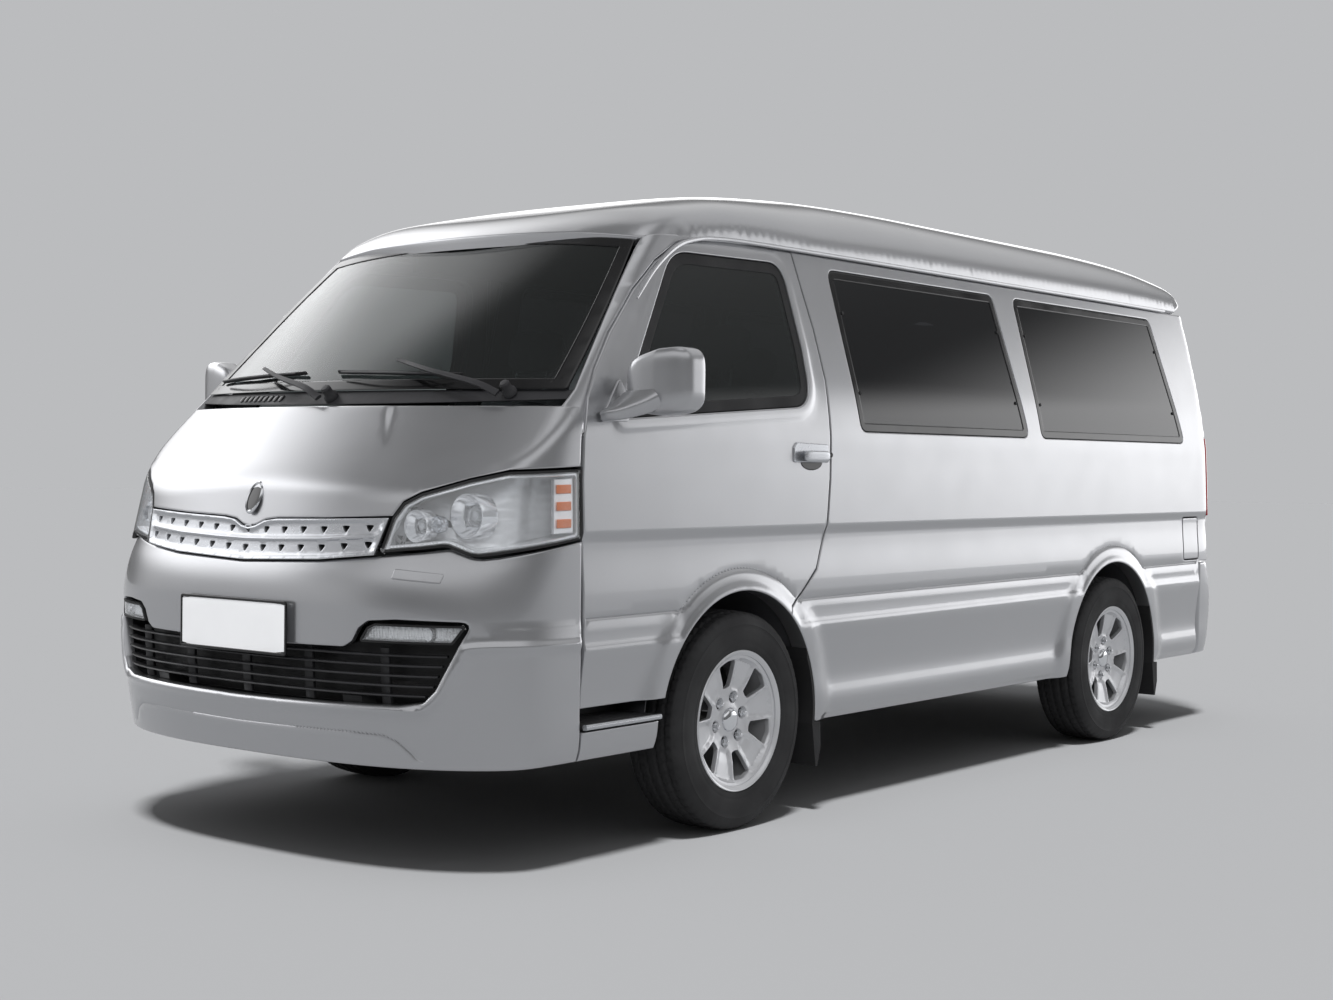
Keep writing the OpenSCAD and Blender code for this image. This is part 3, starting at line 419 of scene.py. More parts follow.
def screenField(p):
    # Windshield: arc of the screen's radius carried up along its lean
    back, height, lean = skin["screen"]
    lean = math.radians(lean)
    out = (-p[:, 1] - 2.535 + back) * math.cos(lean) + (p[:, 2] - height) * math.sin(lean)
    return np.hypot(p[:, 0], out + skin["screenRadius"]) - skin["screenRadius"]


flankRows = np.array(skin["flank"])
roofRows = np.array(skin["roof"])


def sideField(p):
    # Distance of |x| from the half width at this height, scaled where the flank leans in
    width = smoothLine(p[:, 2], flankRows[:, 0], flankRows[:, 1], 0.022)
    return (np.abs(p[:, 0]) - width) * np.where(p[:, 2] > 1.1, 0.975, 1)


def roofField(p):
    # Arch above the gutters: (|x| / w)^n + ((z - gutter) / rise)^n = 1; below them w follows the flank
    gutter, crown, power = (smoothLine(p[:, 1], roofRows[:, 0], roofRows[:, k], 0.16) for k in (1, 2, 3))
    below = np.maximum(gutter - p[:, 2], 0)
    half = skin["gutterHalf"] + 0.235 * below
    rise = crown - gutter
    across = np.abs(p[:, 0]) / half
    up = np.maximum(p[:, 2] - gutter, 0) / rise
    level = np.maximum((across ** power + up ** power) ** (1 / power), 1e-6)
    slope = np.hypot((across / level) ** (power - 1) / half, (up / level) ** (power - 1) / rise)
    return (level - 1) / np.maximum(slope, 0.3)


def endsField(p, name, forward, radius):
    # Ends of one kind joined with rounded seams
    return smoothMax([endField(p, row, forward) for row in skin[name]], radius)


def upperField(p):
    # Above the bumpers: nose, windshield, tail and flanks, their corners rounded
    nose = endsField(p, "nose", -1, skin["noseRound"])
    front = smoothMax([nose, screenField(p)], skin["noseRound"])
    tail = endsField(p, "tail", 1, skin["tailRound"])
    return smoothMax([sideField(p), smoothMax([front, tail], 0.01)], skin["screenRound"])


def lowerField(p):
    # Both bumpers and the foot of the flanks
    front = endsField(p, "bumper", -1, 0.03)
    back = endsField(p, "rearBumper", 1, 0.03)
    return smoothMax([sideField(p), front, back], skin["cornerRound"])


def crownField(p):
    # Roof down to the windshield and the tail
    return smoothMax([roofField(p), screenField(p), endsField(p, "tail", 1, skin["tailRound"])], 0.07)


def tailField(p):
    # Back of the van: roof, flanks and tail
    return smoothMax([roofField(p), sideField(p), endsField(p, "tail", 1, skin["tailRound"])], 0.05)


# Charts: each turns flat places (u, v) into a starting point and a direction that leaves the body
def leftChart(uv):
    zero = 0 * uv[:, 0]
    return np.stack([zero, uv[:, 0], uv[:, 1]], 1), np.stack([zero + 1, zero, zero], 1)


def roundChart(centre, forward, radius=0.9):
    # Level rays that fan out from an upright axis; u is the arc length at the radius
    def chart(uv):
        angle = uv[:, 0] / radius
        zero = 0 * angle
        start = np.stack([zero, zero + centre, uv[:, 1]], 1)
        return start, np.stack([np.sin(angle), forward * np.cos(angle), zero], 1)
    chart.centre, chart.forward, chart.radius = centre, forward, radius
    return chart


noseChart = roundChart(-1.5, -1)
screenChart = roundChart(-0.6, -1)
tailChart = roundChart(1.5, 1)


def roofChart(uv):
    # Rays that fan out from a line along the van, 1.38 m up
    angle = uv[:, 0] / 0.6
    zero = 0 * angle
    return np.stack([zero, uv[:, 1], zero + 1.38], 1), np.stack([np.sin(angle), zero, np.cos(angle)], 1)


def castTo(field, start, way, level=0.0, limit=3.2, steps=44):
    # Bisection along each ray for the place where the field reaches the level
    near = np.zeros(len(start))
    far = np.full(len(start), limit)
    for _ in range(steps):
        middle = 0.5 * (near + far)
        inside = field(start + way * middle[:, None]) < level
        near = np.where(inside, middle, near)
        far = np.where(inside, far, middle)
    return start + way * near[:, None]


def onSkin(field, chart, uv, level=0.0):
    # Points of the skin at flat places of a chart
    start, way = chart(np.atleast_2d(np.asarray(uv, float)))
    return castTo(field, start, way, level)


def chartSpot(chart, points):
    # Flat place of points given in space
    points = np.atleast_2d(points)
    angle = np.arctan2(points[:, 0], chart.forward * (points[:, 1] - chart.centre))
    return np.stack([angle * chart.radius, points[:, 2]], 1)


def frontSpots(chart, field, xz):
    # Flat places of outline points given in front or rear view
    xz = np.asarray(xz, float)
    start = np.stack([xz[:, 0], 0 * xz[:, 0] + 0.3 * chart.centre, xz[:, 1]], 1)
    way = np.tile([0.0, chart.forward, 0.0], (len(xz), 1))
    return chartSpot(chart, castTo(field, start, way))


def sideSpots(chart, field, yz, side=1):
    # Flat places of outline points given in side view
    yz = np.asarray(yz, float)
    start, way = leftChart(yz)
    return chartSpot(chart, castTo(field, start, way * side))


print("skin ready")


# Forms: (points, faces, finish). Faces are rows of point numbers
def gridFaces(rows, cols, closeRows=False, closeCols=False):
    # Four-cornered faces between neighbouring rows and columns
    r = np.arange(rows if closeRows else rows - 1)
    c = np.arange(cols if closeCols else cols - 1)
    r, c = np.meshgrid(r, c, indexing="ij")
    r2, c2 = (r + 1) % rows, (c + 1) % cols
    return np.stack([r * cols + c, r * cols + c2, r2 * cols + c2, r2 * cols + c], -1).reshape(-1, 4)


def gridForm(points, finish, closeRows=False, closeCols=False):
    rows, cols = points.shape[:2]
    return points.reshape(-1, 3), gridFaces(rows, cols, closeRows, closeCols), finish


def moved(form, matrix=None, offset=(0, 0, 0)):
    points = form[0] if matrix is None else form[0] @ np.asarray(matrix, float).T
    return points + np.asarray(offset, float), form[1], form[2]


def mirrored(form):
    # Copy on the van's right side
    return form[0] * np.array([-1, 1, 1]), form[1][:, ::-1], form[2]


def turn(axis, degrees):
    return np.array(Matrix.Rotation(math.radians(degrees), 3, axis))


def lathe(profile, finish, steps=64, axis="Z", offset=(0, 0, 0), close=True):
    # Profile (radius, height) turned about an axis; x = r cos t, y = r sin t, z = height
    profile = np.asarray(profile, float)
    angle = np.linspace(0, 2 * np.pi, steps, endpoint=False)
    points = np.stack([profile[:, None, 0] * np.cos(angle), profile[:, None, 0] * np.sin(angle),
                       profile[:, None, 1] + 0 * angle], -1)
    form = gridForm(points, finish, closeRows=close, closeCols=True)
    if area(profile) < 0:
        form = form[0], form[1][:, ::-1], finish
    swap = {"Z": np.eye(3), "X": [[0, 0, 1], [1, 0, 0], [0, 1, 0]], "Y": [[0, 1, 0], [0, 0, 1], [1, 0, 0]]}[axis]
    return moved(form, swap, offset)


def smoothPath(points, steps, closed=False):
    # Curve through the points: a Catmull-Rom cubic between each pair
    p = np.asarray(points, float)
    count = len(p)
    if closed:
        a, b, c, d = (np.roll(p, -k, 0) for k in (-1, 0, 1, 2))
    else:
        ends = np.vstack([2 * p[0] - p[1], p, 2 * p[-1] - p[-2]])
        a, b, c, d = (ends[k:k + count - 1] for k in range(4))
    t = np.linspace(0, 1, steps, endpoint=False)[None, :, None]
    a, b, c, d = (q[:, None, :] for q in (a, b, c, d))
    curve = 0.5 * (2 * b + (c - a) * t + (2 * a - 5 * b + 4 * c - d) * t ** 2 + (3 * b - a - 3 * c + d) * t ** 3)
    curve = curve.reshape(-1, p.shape[1])
    return curve if closed else np.vstack([curve, p[-1:]])


def sweep(path, profile, finish, closed=False, up=(0, 0, 1), scale=None):
    # Closed profile (side, up) carried along a path in space; ends drawn to their middle
    path = np.asarray(path, float)
    profile = np.asarray(profile, float)
    if closed:
        ahead = np.roll(path, -1, 0) - np.roll(path, 1, 0)
    else:
        ahead = np.gradient(path, axis=0)
    ahead /= np.linalg.norm(ahead, axis=1, keepdims=True)
    up = np.broadcast_to(np.asarray(up, float), path.shape)
    side = np.cross(ahead, up)
    side /= np.linalg.norm(side, axis=1, keepdims=True)
    top = np.cross(side, ahead)
    size = np.ones(len(path)) if scale is None else np.asarray(scale, float)
    ring = (path[:, None] + size[:, None, None] * (profile[None, :, :1] * side[:, None]
                                                   + profile[None, :, 1:] * top[:, None]))
    if not closed:
        ring = np.concatenate([np.repeat(path[:1, None], len(profile), 1), ring,
                               np.repeat(path[-1:, None], len(profile), 1)])
    form = gridForm(ring, finish, closeRows=closed, closeCols=True)
    return (form[0], form[1][:, ::-1], finish) if area(profile) > 0 else form


def oval(width, height, steps=12, power=2.0):
    # Closed profile: |x/w|^n + |y/h|^n = 1
    t = np.linspace(0, 2 * np.pi, steps, endpoint=False)
    c, s = np.cos(t), np.sin(t)
    return np.stack([0.5 * width * np.sign(c) * np.abs(c) ** (2 / power),
                     0.5 * height * np.sign(s) * np.abs(s) ** (2 / power)], 1)


def roundedBox(size, finish, offset=(0, 0, 0), power=6.0, steps=28, matrix=None):
    # Box with soft corners: |x/a|^n + |y/b|^n + |z/c|^n = 1
    a = np.linspace(-np.pi / 2, np.pi / 2, steps)[:, None]
    b = np.linspace(-np.pi, np.pi, 2 * steps, endpoint=False)[None]
    ray = np.stack([np.cos(a) * np.cos(b), np.cos(a) * np.sin(b), np.sin(a) + 0 * b], -1)
    length = (np.abs(ray) ** power).sum(-1, keepdims=True) ** (-1 / power)
    form = gridForm(ray * length * (np.asarray(size, float) / 2), finish, closeCols=True)
    return moved(form, matrix, offset)


def welded(points, faces):
    # Points at one place become one; faces that shrink to a line go
    keys = np.round(points, 6)
    _, first, back = np.unique(keys, axis=0, return_index=True, return_inverse=True)
    faces = back.reshape(-1)[faces]
    return points[first], faces


def makePiece(name, forms, body, replaces=(), sharp=38):
    # One mesh from the forms, each face with its finish, riding on a body
    points, loops, starts, tags, names = [], [], [], [], []
    base = 0
    for spots, faces, finish in forms:
        spots, faces = welded(spots, faces)
        finish = np.broadcast_to(np.asarray(finish), len(faces))
        names += [label for label in np.unique(finish).tolist() if label not in names]
        tag = np.select([finish == label for label in names], range(len(names)))
        # Neighbouring corners of a face at one point are merged
        keep = faces != np.roll(faces, 1, 1)
        solid = keep.sum(1) >= 3
        faces, keep = faces[solid], keep[solid]
        points.append(spots)
        loops.append(faces[keep] + base)
        starts.append(keep.sum(1))
        tags.append(tag[solid])
        base += len(spots)
    points, loops = np.concatenate(points), np.concatenate(loops)
    totals, tags = np.concatenate(starts), np.concatenate(tags)
    mesh = bpy.data.meshes.new(name)
    mesh.vertices.add(len(points))
    mesh.vertices.foreach_set("co", points.astype(np.float32).ravel())
    mesh.loops.add(len(loops))
    mesh.loops.foreach_set("vertex_index", loops.astype(np.int32))
    mesh.polygons.add(len(totals))
    mesh.polygons.foreach_set("loop_start", (np.cumsum(totals) - totals).astype(np.int32))
    mesh.polygons.foreach_set("material_index", tags.astype(np.int32))
    for finish in names:
        mesh.materials.append(materials[finish])
    mesh.update(calc_edges=True)
    mesh.validate()
    mesh.polygons.foreach_set("use_smooth", np.ones(len(mesh.polygons), bool))
    mesh.set_sharp_from_angle(angle=math.radians(sharp))
    piece = bpy.data.objects.new(name, mesh)
    scene.collection.objects.link(piece)
    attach(piece, body)
    if replaces:
        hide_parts(*replaces)
    return piece


# Panels: an outline with holes, laid on the skin, with rolled edges and a back
def resample(loop, pitch):
    # Closed loop in steps of at most the pitch
    loop = np.asarray(loop, float)
    after = np.roll(loop, -1, 0)
    parts = []
    for a, b in zip(loop, after):
        count = max(1, int(math.ceil(np.linalg.norm(b - a) / pitch)))
        parts.append(a + (b - a) * np.linspace(0, 1, count, endpoint=False)[:, None])
    return np.concatenate(parts)


def walk(line, pitch):
    # Open line in even steps
    line = np.asarray(line, float)
    run = np.concatenate([[0], np.cumsum(np.linalg.norm(np.diff(line, axis=0), axis=1))])
    at = np.linspace(0, run[-1], max(2, int(run[-1] / pitch) + 1))
    return np.stack([np.interp(at, run, line[:, k]) for k in (0, 1)], 1)


def area(loop):
    # Area inside a loop, positive when it runs anticlockwise
    after = np.roll(loop, -1, 0)
    return 0.5 * np.sum(loop[:, 0] * after[:, 1] - loop[:, 1] * after[:, 0])


def rounded(loop, radius, steps=6):
    # Each corner gives way to an arc that touches both of its sides
    loop = np.asarray(loop, float)
    before, after = np.roll(loop, 1, 0) - loop, np.roll(loop, -1, 0) - loop
    radius = np.broadcast_to(np.asarray(radius, float), len(loop))
    out = []
    for corner, a, b, r in zip(loop, before, after, radius):
        la, lb = np.linalg.norm(a), np.linalg.norm(b)
        a, b = a / la, b / lb
        half = 0.5 * math.acos(np.clip(a @ b, -1, 1))
        cut = min(r / max(math.tan(half), 1e-3), 0.48 * la, 0.48 * lb)
        if cut < 1e-4 or half > 1.5:
            out.append(corner[None])
            continue
        t = np.linspace(0, 1, steps)[:, None]
        p0, p2 = corner + a * cut, corner + b * cut
        out.append((1 - t) ** 2 * p0 + 2 * t * (1 - t) * corner + t ** 2 * p2)
    return np.concatenate(out)


def shifted(loop, distance):
    # Loop moved to its left by the distance, corners mitred
    ahead = np.roll(loop, -1, 0) - loop
    ahead /= np.maximum(np.linalg.norm(ahead, axis=1, keepdims=True), 1e-9)
    left = np.stack([-ahead[:, 1], ahead[:, 0]], 1)
    both = left + np.roll(left, 1, 0)
    both /= np.maximum(np.sum(both * both, 1, keepdims=True) / 2, 0.35)
    return loop + both * distance


def grown(loop, distance):
    # Closed outline made larger by the distance, smaller when negative
    loop = np.asarray(loop, float)
    return shifted(loop, -distance if area(loop) > 0 else distance)


def insideLoop(points, loop):
    # True where a ray to the right crosses the loop an odd number of times
    x, y = points[:, :1], points[:, 1:]
    a, b = loop, np.roll(loop, -1, 0)
    crosses = (a[None, :, 1] > y) != (b[None, :, 1] > y)
    run = np.where(np.abs(b[:, 1] - a[:, 1]) < 1e-12, 1e-12, b[:, 1] - a[:, 1])
    place = a[None, :, 0] + (y - a[None, :, 1]) * (b[:, 0] - a[:, 0])[None] / run[None]
    return (crosses & (x < place)).sum(1) % 2 == 1


def nearLoop(points, spots, reach):
    # True where a point lies within about the reach of any of the spots
    keys = set(map(tuple, np.round(spots / reach).astype(int).tolist()))
    cell = np.round(points / reach).astype(int)
    near = np.zeros(len(points), bool)
    for dx in (-1, 0, 1):
        for dy in (-1, 0, 1):
            near |= np.array([(x, y) in keys for x, y in (cell + [dx, dy]).tolist()], bool)
    return near


def distanceTo(u, v, line):
    # Smallest distance to the straight pieces of a line
    p = np.stack([u, v], 1)[:, None]
    a, b = line[None, :-1], line[None, 1:]
    run = b - a
    t = np.clip(np.sum((p - a) * run, -1) / np.sum(run * run, -1), 0, 1)
    return np.sqrt(np.min(np.sum((p - a - t[..., None] * run) ** 2, -1), 1))


def triangulate(loops, spots, pitch):
    # Triangles between the loops, with an even field of points inside
    box = np.concatenate(loops)
    low, high = box.min(0), box.max(0)
    cols = np.arange(low[0], high[0], pitch)
    rows = np.arange(low[1], high[1], pitch * 0.87)
    x, y = np.meshgrid(cols, rows)
    x = x + (np.arange(len(rows)) % 2)[:, None] * pitch * 0.5
    field = np.stack([x.ravel(), y.ravel()], 1)
    fixed = box if not len(spots) else np.concatenate([box, spots])
    field = field[~nearLoop(field, fixed, pitch * 0.42)]
    if len(spots):
        field = np.concatenate([spots, field])
    inside = insideLoop(field, loops[0])
    for hole in loops[1:]:
        inside &= ~insideLoop(field, hole)
    if len(spots):
        inside &= ~nearLoop(field, box, 0.0025)
    field = field[inside]
    edges, base = [], 0
    for loop in loops:
        ring = base + np.arange(len(loop))
        edges += np.stack([ring, np.roll(ring, -1)], 1).tolist()
        base += len(loop)
    flat = np.concatenate([box, field])
    spotsOut, _, faces, *_ = delaunay_2d_cdt([Vector(p) for p in flat.tolist()], edges, [], 0, 1e-7)
    spotsOut = np.array([tuple(v) for v in spotsOut])
    faces = np.array(faces)
    middle = spotsOut[faces].mean(1)
    good = insideLoop(middle, loops[0])
    for hole in loops[1:]:
        good &= ~insideLoop(middle, hole)
    return spotsOut, faces[good]


def panelForms(chart, field, outline, holes=(), depth=0.03, finish="paint", inner="underPaint", pitch=0.018,
               raised=None, lines=(), roll=0.003, level=0.0, flip=False):
    # raised(u, v): height of pressed features above the skin; lines: rows of points along those features
    loops = [resample(outline, pitch * 0.8)] + [resample(hole, pitch * 0.8) for hole in holes]
    loops = [loop if (area(loop) > 0) == (k == 0) else loop[::-1] for k, loop in enumerate(loops)]
    inset = [shifted(loop, roll + 0.003) for loop in loops]
    spots = np.concatenate([walk(line, pitch * 0.7) for line in lines]) if len(lines) else np.zeros((0, 2))
    flat, faces = triangulate(inset, spots, pitch)
    height = (lambda uv: raised(uv[:, 0], uv[:, 1])) if raised else (lambda uv: 0 * uv[:, 0])

    def lift(uv, below):
        start, way = chart(uv)
        goal = height(uv) * (below < depth * 0.9) + level - below
        return castTo(lambda p: field(p) - goal, start, way)

    if flip:
        faces = faces[:, ::-1]
    forms = [(lift(flat, 0), faces, finish), (lift(flat, depth), faces[:, ::-1], inner)]
    bend = np.linspace(0, np.pi / 2, 4)
    for loop in loops:
        rings = [lift(shifted(loop, roll + 0.003), 0)]
        rings += [lift(shifted(loop, roll * (1 - math.sin(t))), roll * (1 - math.cos(t))) for t in bend]
        rings += [lift(loop, depth * 0.5), lift(loop, depth), lift(shifted(loop, roll + 0.003), depth)]
        rim = gridForm(np.stack(rings), finish, closeCols=True)
        forms.append((rim[0], rim[1] if flip else rim[1][:, ::-1], finish))
    return [joinForms(forms)]


def joinForms(forms):
    # One closed form out of several, each face keeping its finish
    faces, tags, base = [], [], 0
    for spots, rows, finish in forms:
        if rows.shape[1] == 3:
            rows = np.concatenate([rows, rows[:, 2:]], 1)
        faces.append(rows + base)
        tags.append(np.full(len(rows), finish, dtype="U16"))
        base += len(spots)
    return np.concatenate([f[0] for f in forms]), np.concatenate(faces), np.concatenate(tags)


def mirroredAll(forms):
    return [mirrored(form) for form in forms]


print("form tools ready")

# Flanks: side walls, front doors, sliding door. Wheel centres along the van; heights and sizes in metres
flank = {"seam": 0.0055, "wheels": (-1.265, 1.325), "wheelZ": 0.333, "archRadius": 0.395, "flareRadius": 0.463,
         "lipRadius": 0.413, "strip": (0.6895, 0.0038), "ridge": (0.6160, 0.0057), "crease": 0.906, "sill": 0.290,
         "gutter": 1.797, "thick": 0.045, "houseInner": (0.430, 0.588), "houseOuter": (0.775, 0.800)}
doorSeam = np.array([(-0.829, 1.795), (-0.805, 1.676), (-0.777, 1.547), (-0.760, 1.386), (-0.772, 1.219),
                     (-0.780, 1.063), (-0.800, 0.900), (-0.855, 0.780), (-0.945, 0.705), (-1.003, 0.668)])
doorFront = np.array([(-2.0, 0.436), (-2.0, 0.900), (-2.004, 1.060), (-1.996, 1.180), (-1.965, 1.290),
                      (-1.910, 1.367), (-1.813, 1.476), (-1.676, 1.608), (-1.557, 1.701), (-1.440, 1.765),
                      (-1.310, 1.795)])
doorWindow = np.array([(-1.845, 1.234), (-1.475, 1.738), (-0.902, 1.750), (-0.868, 1.480), (-0.868, 1.298)])
doorRadii = [0.015, 0.160, 0.080, 0.300, 0.165]
paneFront = np.array([(-0.580, 1.222), (0.600, 1.222), (0.497, 1.754), (-0.628, 1.754)])
paneBack = np.array([(0.707, 1.222), (2.049, 1.222), (1.910, 1.754), (0.664, 1.754)])
flapBox = np.array([(2.040, 0.716), (2.195, 0.716), (2.195, 0.895), (2.040, 0.895)])


def below(y, z, name, radius):
    # How far a place lies under the line or inside the circle round the nearer wheel
    height, slope = flank[name]
    wheel = np.where(y < 0, *flank["wheels"])
    return np.maximum(height + slope * y - z, radius - np.hypot(y - wheel, z - flank["wheelZ"]))


def flankRaised(y, z):
    # Height of pressed features: strip and flare, bright ridge and lip, hollow under the ridge, sill, waist crease
    strip = below(y, z, "strip", flank["flareRadius"])
    ridge = below(y, z, "ridge", flank["lipRadius"])
    wheel = np.where(y < 0, *flank["wheels"])
    reach = np.hypot(y - wheel, z - flank["wheelZ"])
    lift = 0.0015 * softStep(strip / 0.006) - 0.0050 * np.exp(-(strip / 0.0030) ** 2)
    lift = lift + 0.007 * np.clip(strip / 0.05, 0, 1) * softStep((flank["flareRadius"] + 0.01 - reach) / 0.03)
    lift = lift + 0.0060 * softStep(ridge / 0.013)
    away = softStep((reach - 0.47) / 0.05)
    depth = np.clip((0.600 - z) / 0.20, 0, 1)
    lift = lift - 0.014 * away * depth * (2 - depth)
    lift = lift + 0.008 * away * softStep((0.378 - z) / 0.045) - 0.006 * away * softStep((0.307 - z) / 0.008)
    drop = (flank["crease"] - z) / 0.010
    crease = -0.0075 * softStep(drop) * softStep((z - 0.80) / 0.075)
    return lift + crease * softStep((y + 2.6) / 0.1)


def arc(centre, radius, start, end, steps=40):
    angle = np.radians(np.linspace(start, end, steps))
    return np.stack([centre[0] + radius * np.cos(angle), centre[1] + radius * np.sin(angle)], 1)


def row(y0, y1, z, slope=0.0):
    return np.array([(y0, z + slope * y0), (y1, z + slope * y1)])


featureLines = [row(-2.02, 2.5, flank["crease"] + s) for s in (-0.020, -0.010, 0.0, 0.010, 0.018)]
for name, steps in (("strip", (-0.008, -0.003, 0.0, 0.003, 0.008)), ("ridge", (-0.014, -0.007, 0.0, 0.007, 0.014))):
    featureLines += [row(-2.02, 2.5, flank[name][0] + s, flank[name][1]) for s in steps]
featureLines += [row(-2.02, 2.5, z) for z in (0.415, 0.395, 0.375, 0.355, 0.335, 0.316, 0.309, 0.302)]
for wheelY in flank["wheels"]:
    featureLines += [arc((wheelY, flank["wheelZ"]), flank["flareRadius"] + s, 30, 150, 100)
                     for s in (-0.020, -0.008, -0.003, 0.0, 0.003, 0.008)]
    featureLines += [arc((wheelY, flank["wheelZ"]), flank["lipRadius"] + s, 20, 160, 90) for s in (-0.006, 0.0, 0.007,
                                                                                                   0.014)]


def archPoints(wheel, start, end):
    return arc((wheel, flank["wheelZ"]), flank["archRadius"], start, end, 48)


sillAngle = math.degrees(math.asin((flank["sill"] - flank["wheelZ"]) / flank["archRadius"]))


def tailSeam(x, heights):
    # Places on the flank chart where the skin has narrowed to x
    heights = np.asarray(heights, float)
    start = np.stack([0 * heights + x, 0 * heights + 1.0, heights], 1)
    spots = castTo(tailField, start, np.tile([0.0, 1.0, 0.0], (len(heights), 1)))
    return spots[:, 1:]


gateHalf = {"low": 0.700, "high": 0.570}


def gateEdge(z):
    return np.interp(z, [0.80, 1.30, 1.88], [gateHalf["low"], gateHalf["low"], gateHalf["high"]])


def wallOutline(slide=False):
    seam = flank["seam"]
    doorEdge = shifted(np.vstack([doorSeam, [(-3, 0.3), (-3, 1.795)]]), seam)[:10]
    doorEdge[0, 1] = flank["gutter"]
    meet = math.degrees(math.asin((0.64 - flank["wheelZ"]) / flank["archRadius"]))
    seamHeights = np.array([0.703, 0.78, 0.86, 0.895])
    lampHeights = np.array([1.255, 1.40, 1.55, 1.70, 1.797])
    inner = np.array([tailSeam(gateEdge(z) + seam, [z])[0] for z in seamHeights])
    lamp = np.array([(2.297, 0.895), (2.280, 1.255)])
    upper = np.array([tailSeam(min(gateEdge(z) + seam, 0.683), [z])[0] for z in lampHeights])
    parts = [archPoints(-1.265, meet, sillAngle), archPoints(1.325, 180 - sillAngle, sillAngle),
             [(2.199, flank["sill"])], [(2.199, 0.703)], inner, lamp, upper]
    if slide:
        parts += [[(0.6215, flank["gutter"]), (0.6215, 0.415), (-0.7555, 0.415), (-0.7555, flank["gutter"])]]
    parts.append(doorEdge)
    return np.concatenate([np.asarray(part, float) for part in parts])


def doorLoop():
    lower = archPoints(-1.265, 180 - math.degrees(math.asin((0.436 - 0.333) / 0.395)),
                       math.degrees(math.asin((0.64 - 0.333) / 0.395)))
    return np.concatenate([doorFront[:1], doorFront[1:], doorSeam, lower[::-1]])


def wheelHouse(place, inboard, outboard):
    # Cover over a wheel inside the body: a thin drum sector, open outwards, its ends pinched shut
    centre = np.array([0.0, place, flank["wheelZ"]])
    outer = np.array([(outboard, 0.408), (outboard - 0.08, 0.408), (inboard + 0.032, 0.408), (inboard + 0.008, 0.400),
                      (inboard, 0.380), (inboard, 0.10)])
    inner = outer[::-1] - [0, 0.004] + np.array([(0.004, 0), (0.004, 0), (0.003, -0.001), (0, 0), (0, 0), (0, 0)])
    middle = (outer + inner[::-1]) / 2
    ends = np.concatenate([middle, middle[::-1]])
    angle = np.radians(np.linspace(-6, 186, 41))
    section = np.repeat(np.concatenate([outer, inner])[:, None], len(angle), 1)
    section[:, 0] = section[:, -1] = ends
    points = centre + np.stack([section[..., 0], section[..., 1] * np.cos(angle), section[..., 1] * np.sin(angle)], -1)
    points, faces, finish = gridForm(points, "trimDark", closeRows=True)
    return points, faces[:, ::-1], finish


def buildFlanks():
    panes = [rounded(paneFront, 0.035), rounded(paneBack, 0.035)]
    flapHole = grown(rounded(flapBox, 0.012), 0.005)
    cornerHeights = np.linspace(0.72, 1.79, 44)
    cornerLines = [tailSeam(x, cornerHeights) for x in (0.60, 0.64, 0.675, 0.705, 0.73, 0.752, 0.772, 0.790, 0.805)]
    common = dict(depth=flank["thick"], raised=flankRaised, lines=featureLines + cornerLines, inner="trimGrey",
                  pitch=0.023)
    wall = panelForms(leftChart, upperField, wallOutline(),
                      [grown(panes[0], 0.002), grown(panes[1], 0.002), flapHole], **common)
    pillar = pillarForms()
    pillar += [wheelHouse(*row) for row in zip(flank["wheels"], flank["houseInner"], flank["houseOuter"])]
    pocket = panelForms(leftChart, upperField, grown(rounded(flapBox, 0.012), 0.016), depth=0.004, level=-0.046,
                        finish="trimDark", inner="trimDark")
    spot = onSkin(upperField, leftChart, [flapBox.mean(0)])[0]
    cap = lathe([(0.0, 0.010), (0.026, 0.008), (0.030, 0.004), (0.030, -0.012), (0.0, -0.012)], "blackPlastic", 36,
                "X", spot - [0.036, 0, 0], close=False)
    makePiece("sideWallLeft", wall + pillar + pocket + [cap], "body", ["side_left"])
    wall = panelForms(leftChart, upperField, wallOutline(True), [grown(panes[1], 0.002)], **common)
    makePiece("sideWallRight", mirroredAll(wall + pillar), "body", ["side_right"])
    window = rounded(doorWindow, doorRadii, 9)
    ring = np.concatenate([window, window[:1]])

    def doorRaised(y, z):
        # Pressed frame round the window
        return flankRaised(y, z) + 0.0035 * softStep((0.036 - distanceTo(y, z, ring)) / 0.011)

    common["raised"] = doorRaised
    common["lines"] = featureLines + [np.vstack([grown(window, s)] * 2)[:len(window) + 1] for s in (0.016, 0.025,
                                                                                                    0.033, 0.041,
                                                                                                    0.050)]
    door = panelForms(leftChart, upperField, doorLoop(), [grown(window, 0.002)], **common)
    common["raised"], common["lines"] = flankRaised, featureLines
    makePiece("doorLeft", door, "door_left", ["door_left"])
    makePiece("doorRight", mirroredAll(door), "door_right", ["door_right"])
    slide = rounded([(-0.750, 0.420), (0.616, 0.420), (0.616, 1.795), (-0.750, 1.795)], 0.02)
    sliding = panelForms(leftChart, upperField, slide, [grown(panes[0], 0.002)], **common)
    makePiece("slidingDoor", mirroredAll(sliding), "body", ["sliding_door"])
    flap = panelForms(leftChart, upperField, rounded(flapBox, 0.012), depth=0.012, raised=flankRaised)
    makePiece("fuelFlap", flap, "fuel_flap", ["fuel_flap"])
    return panes, window


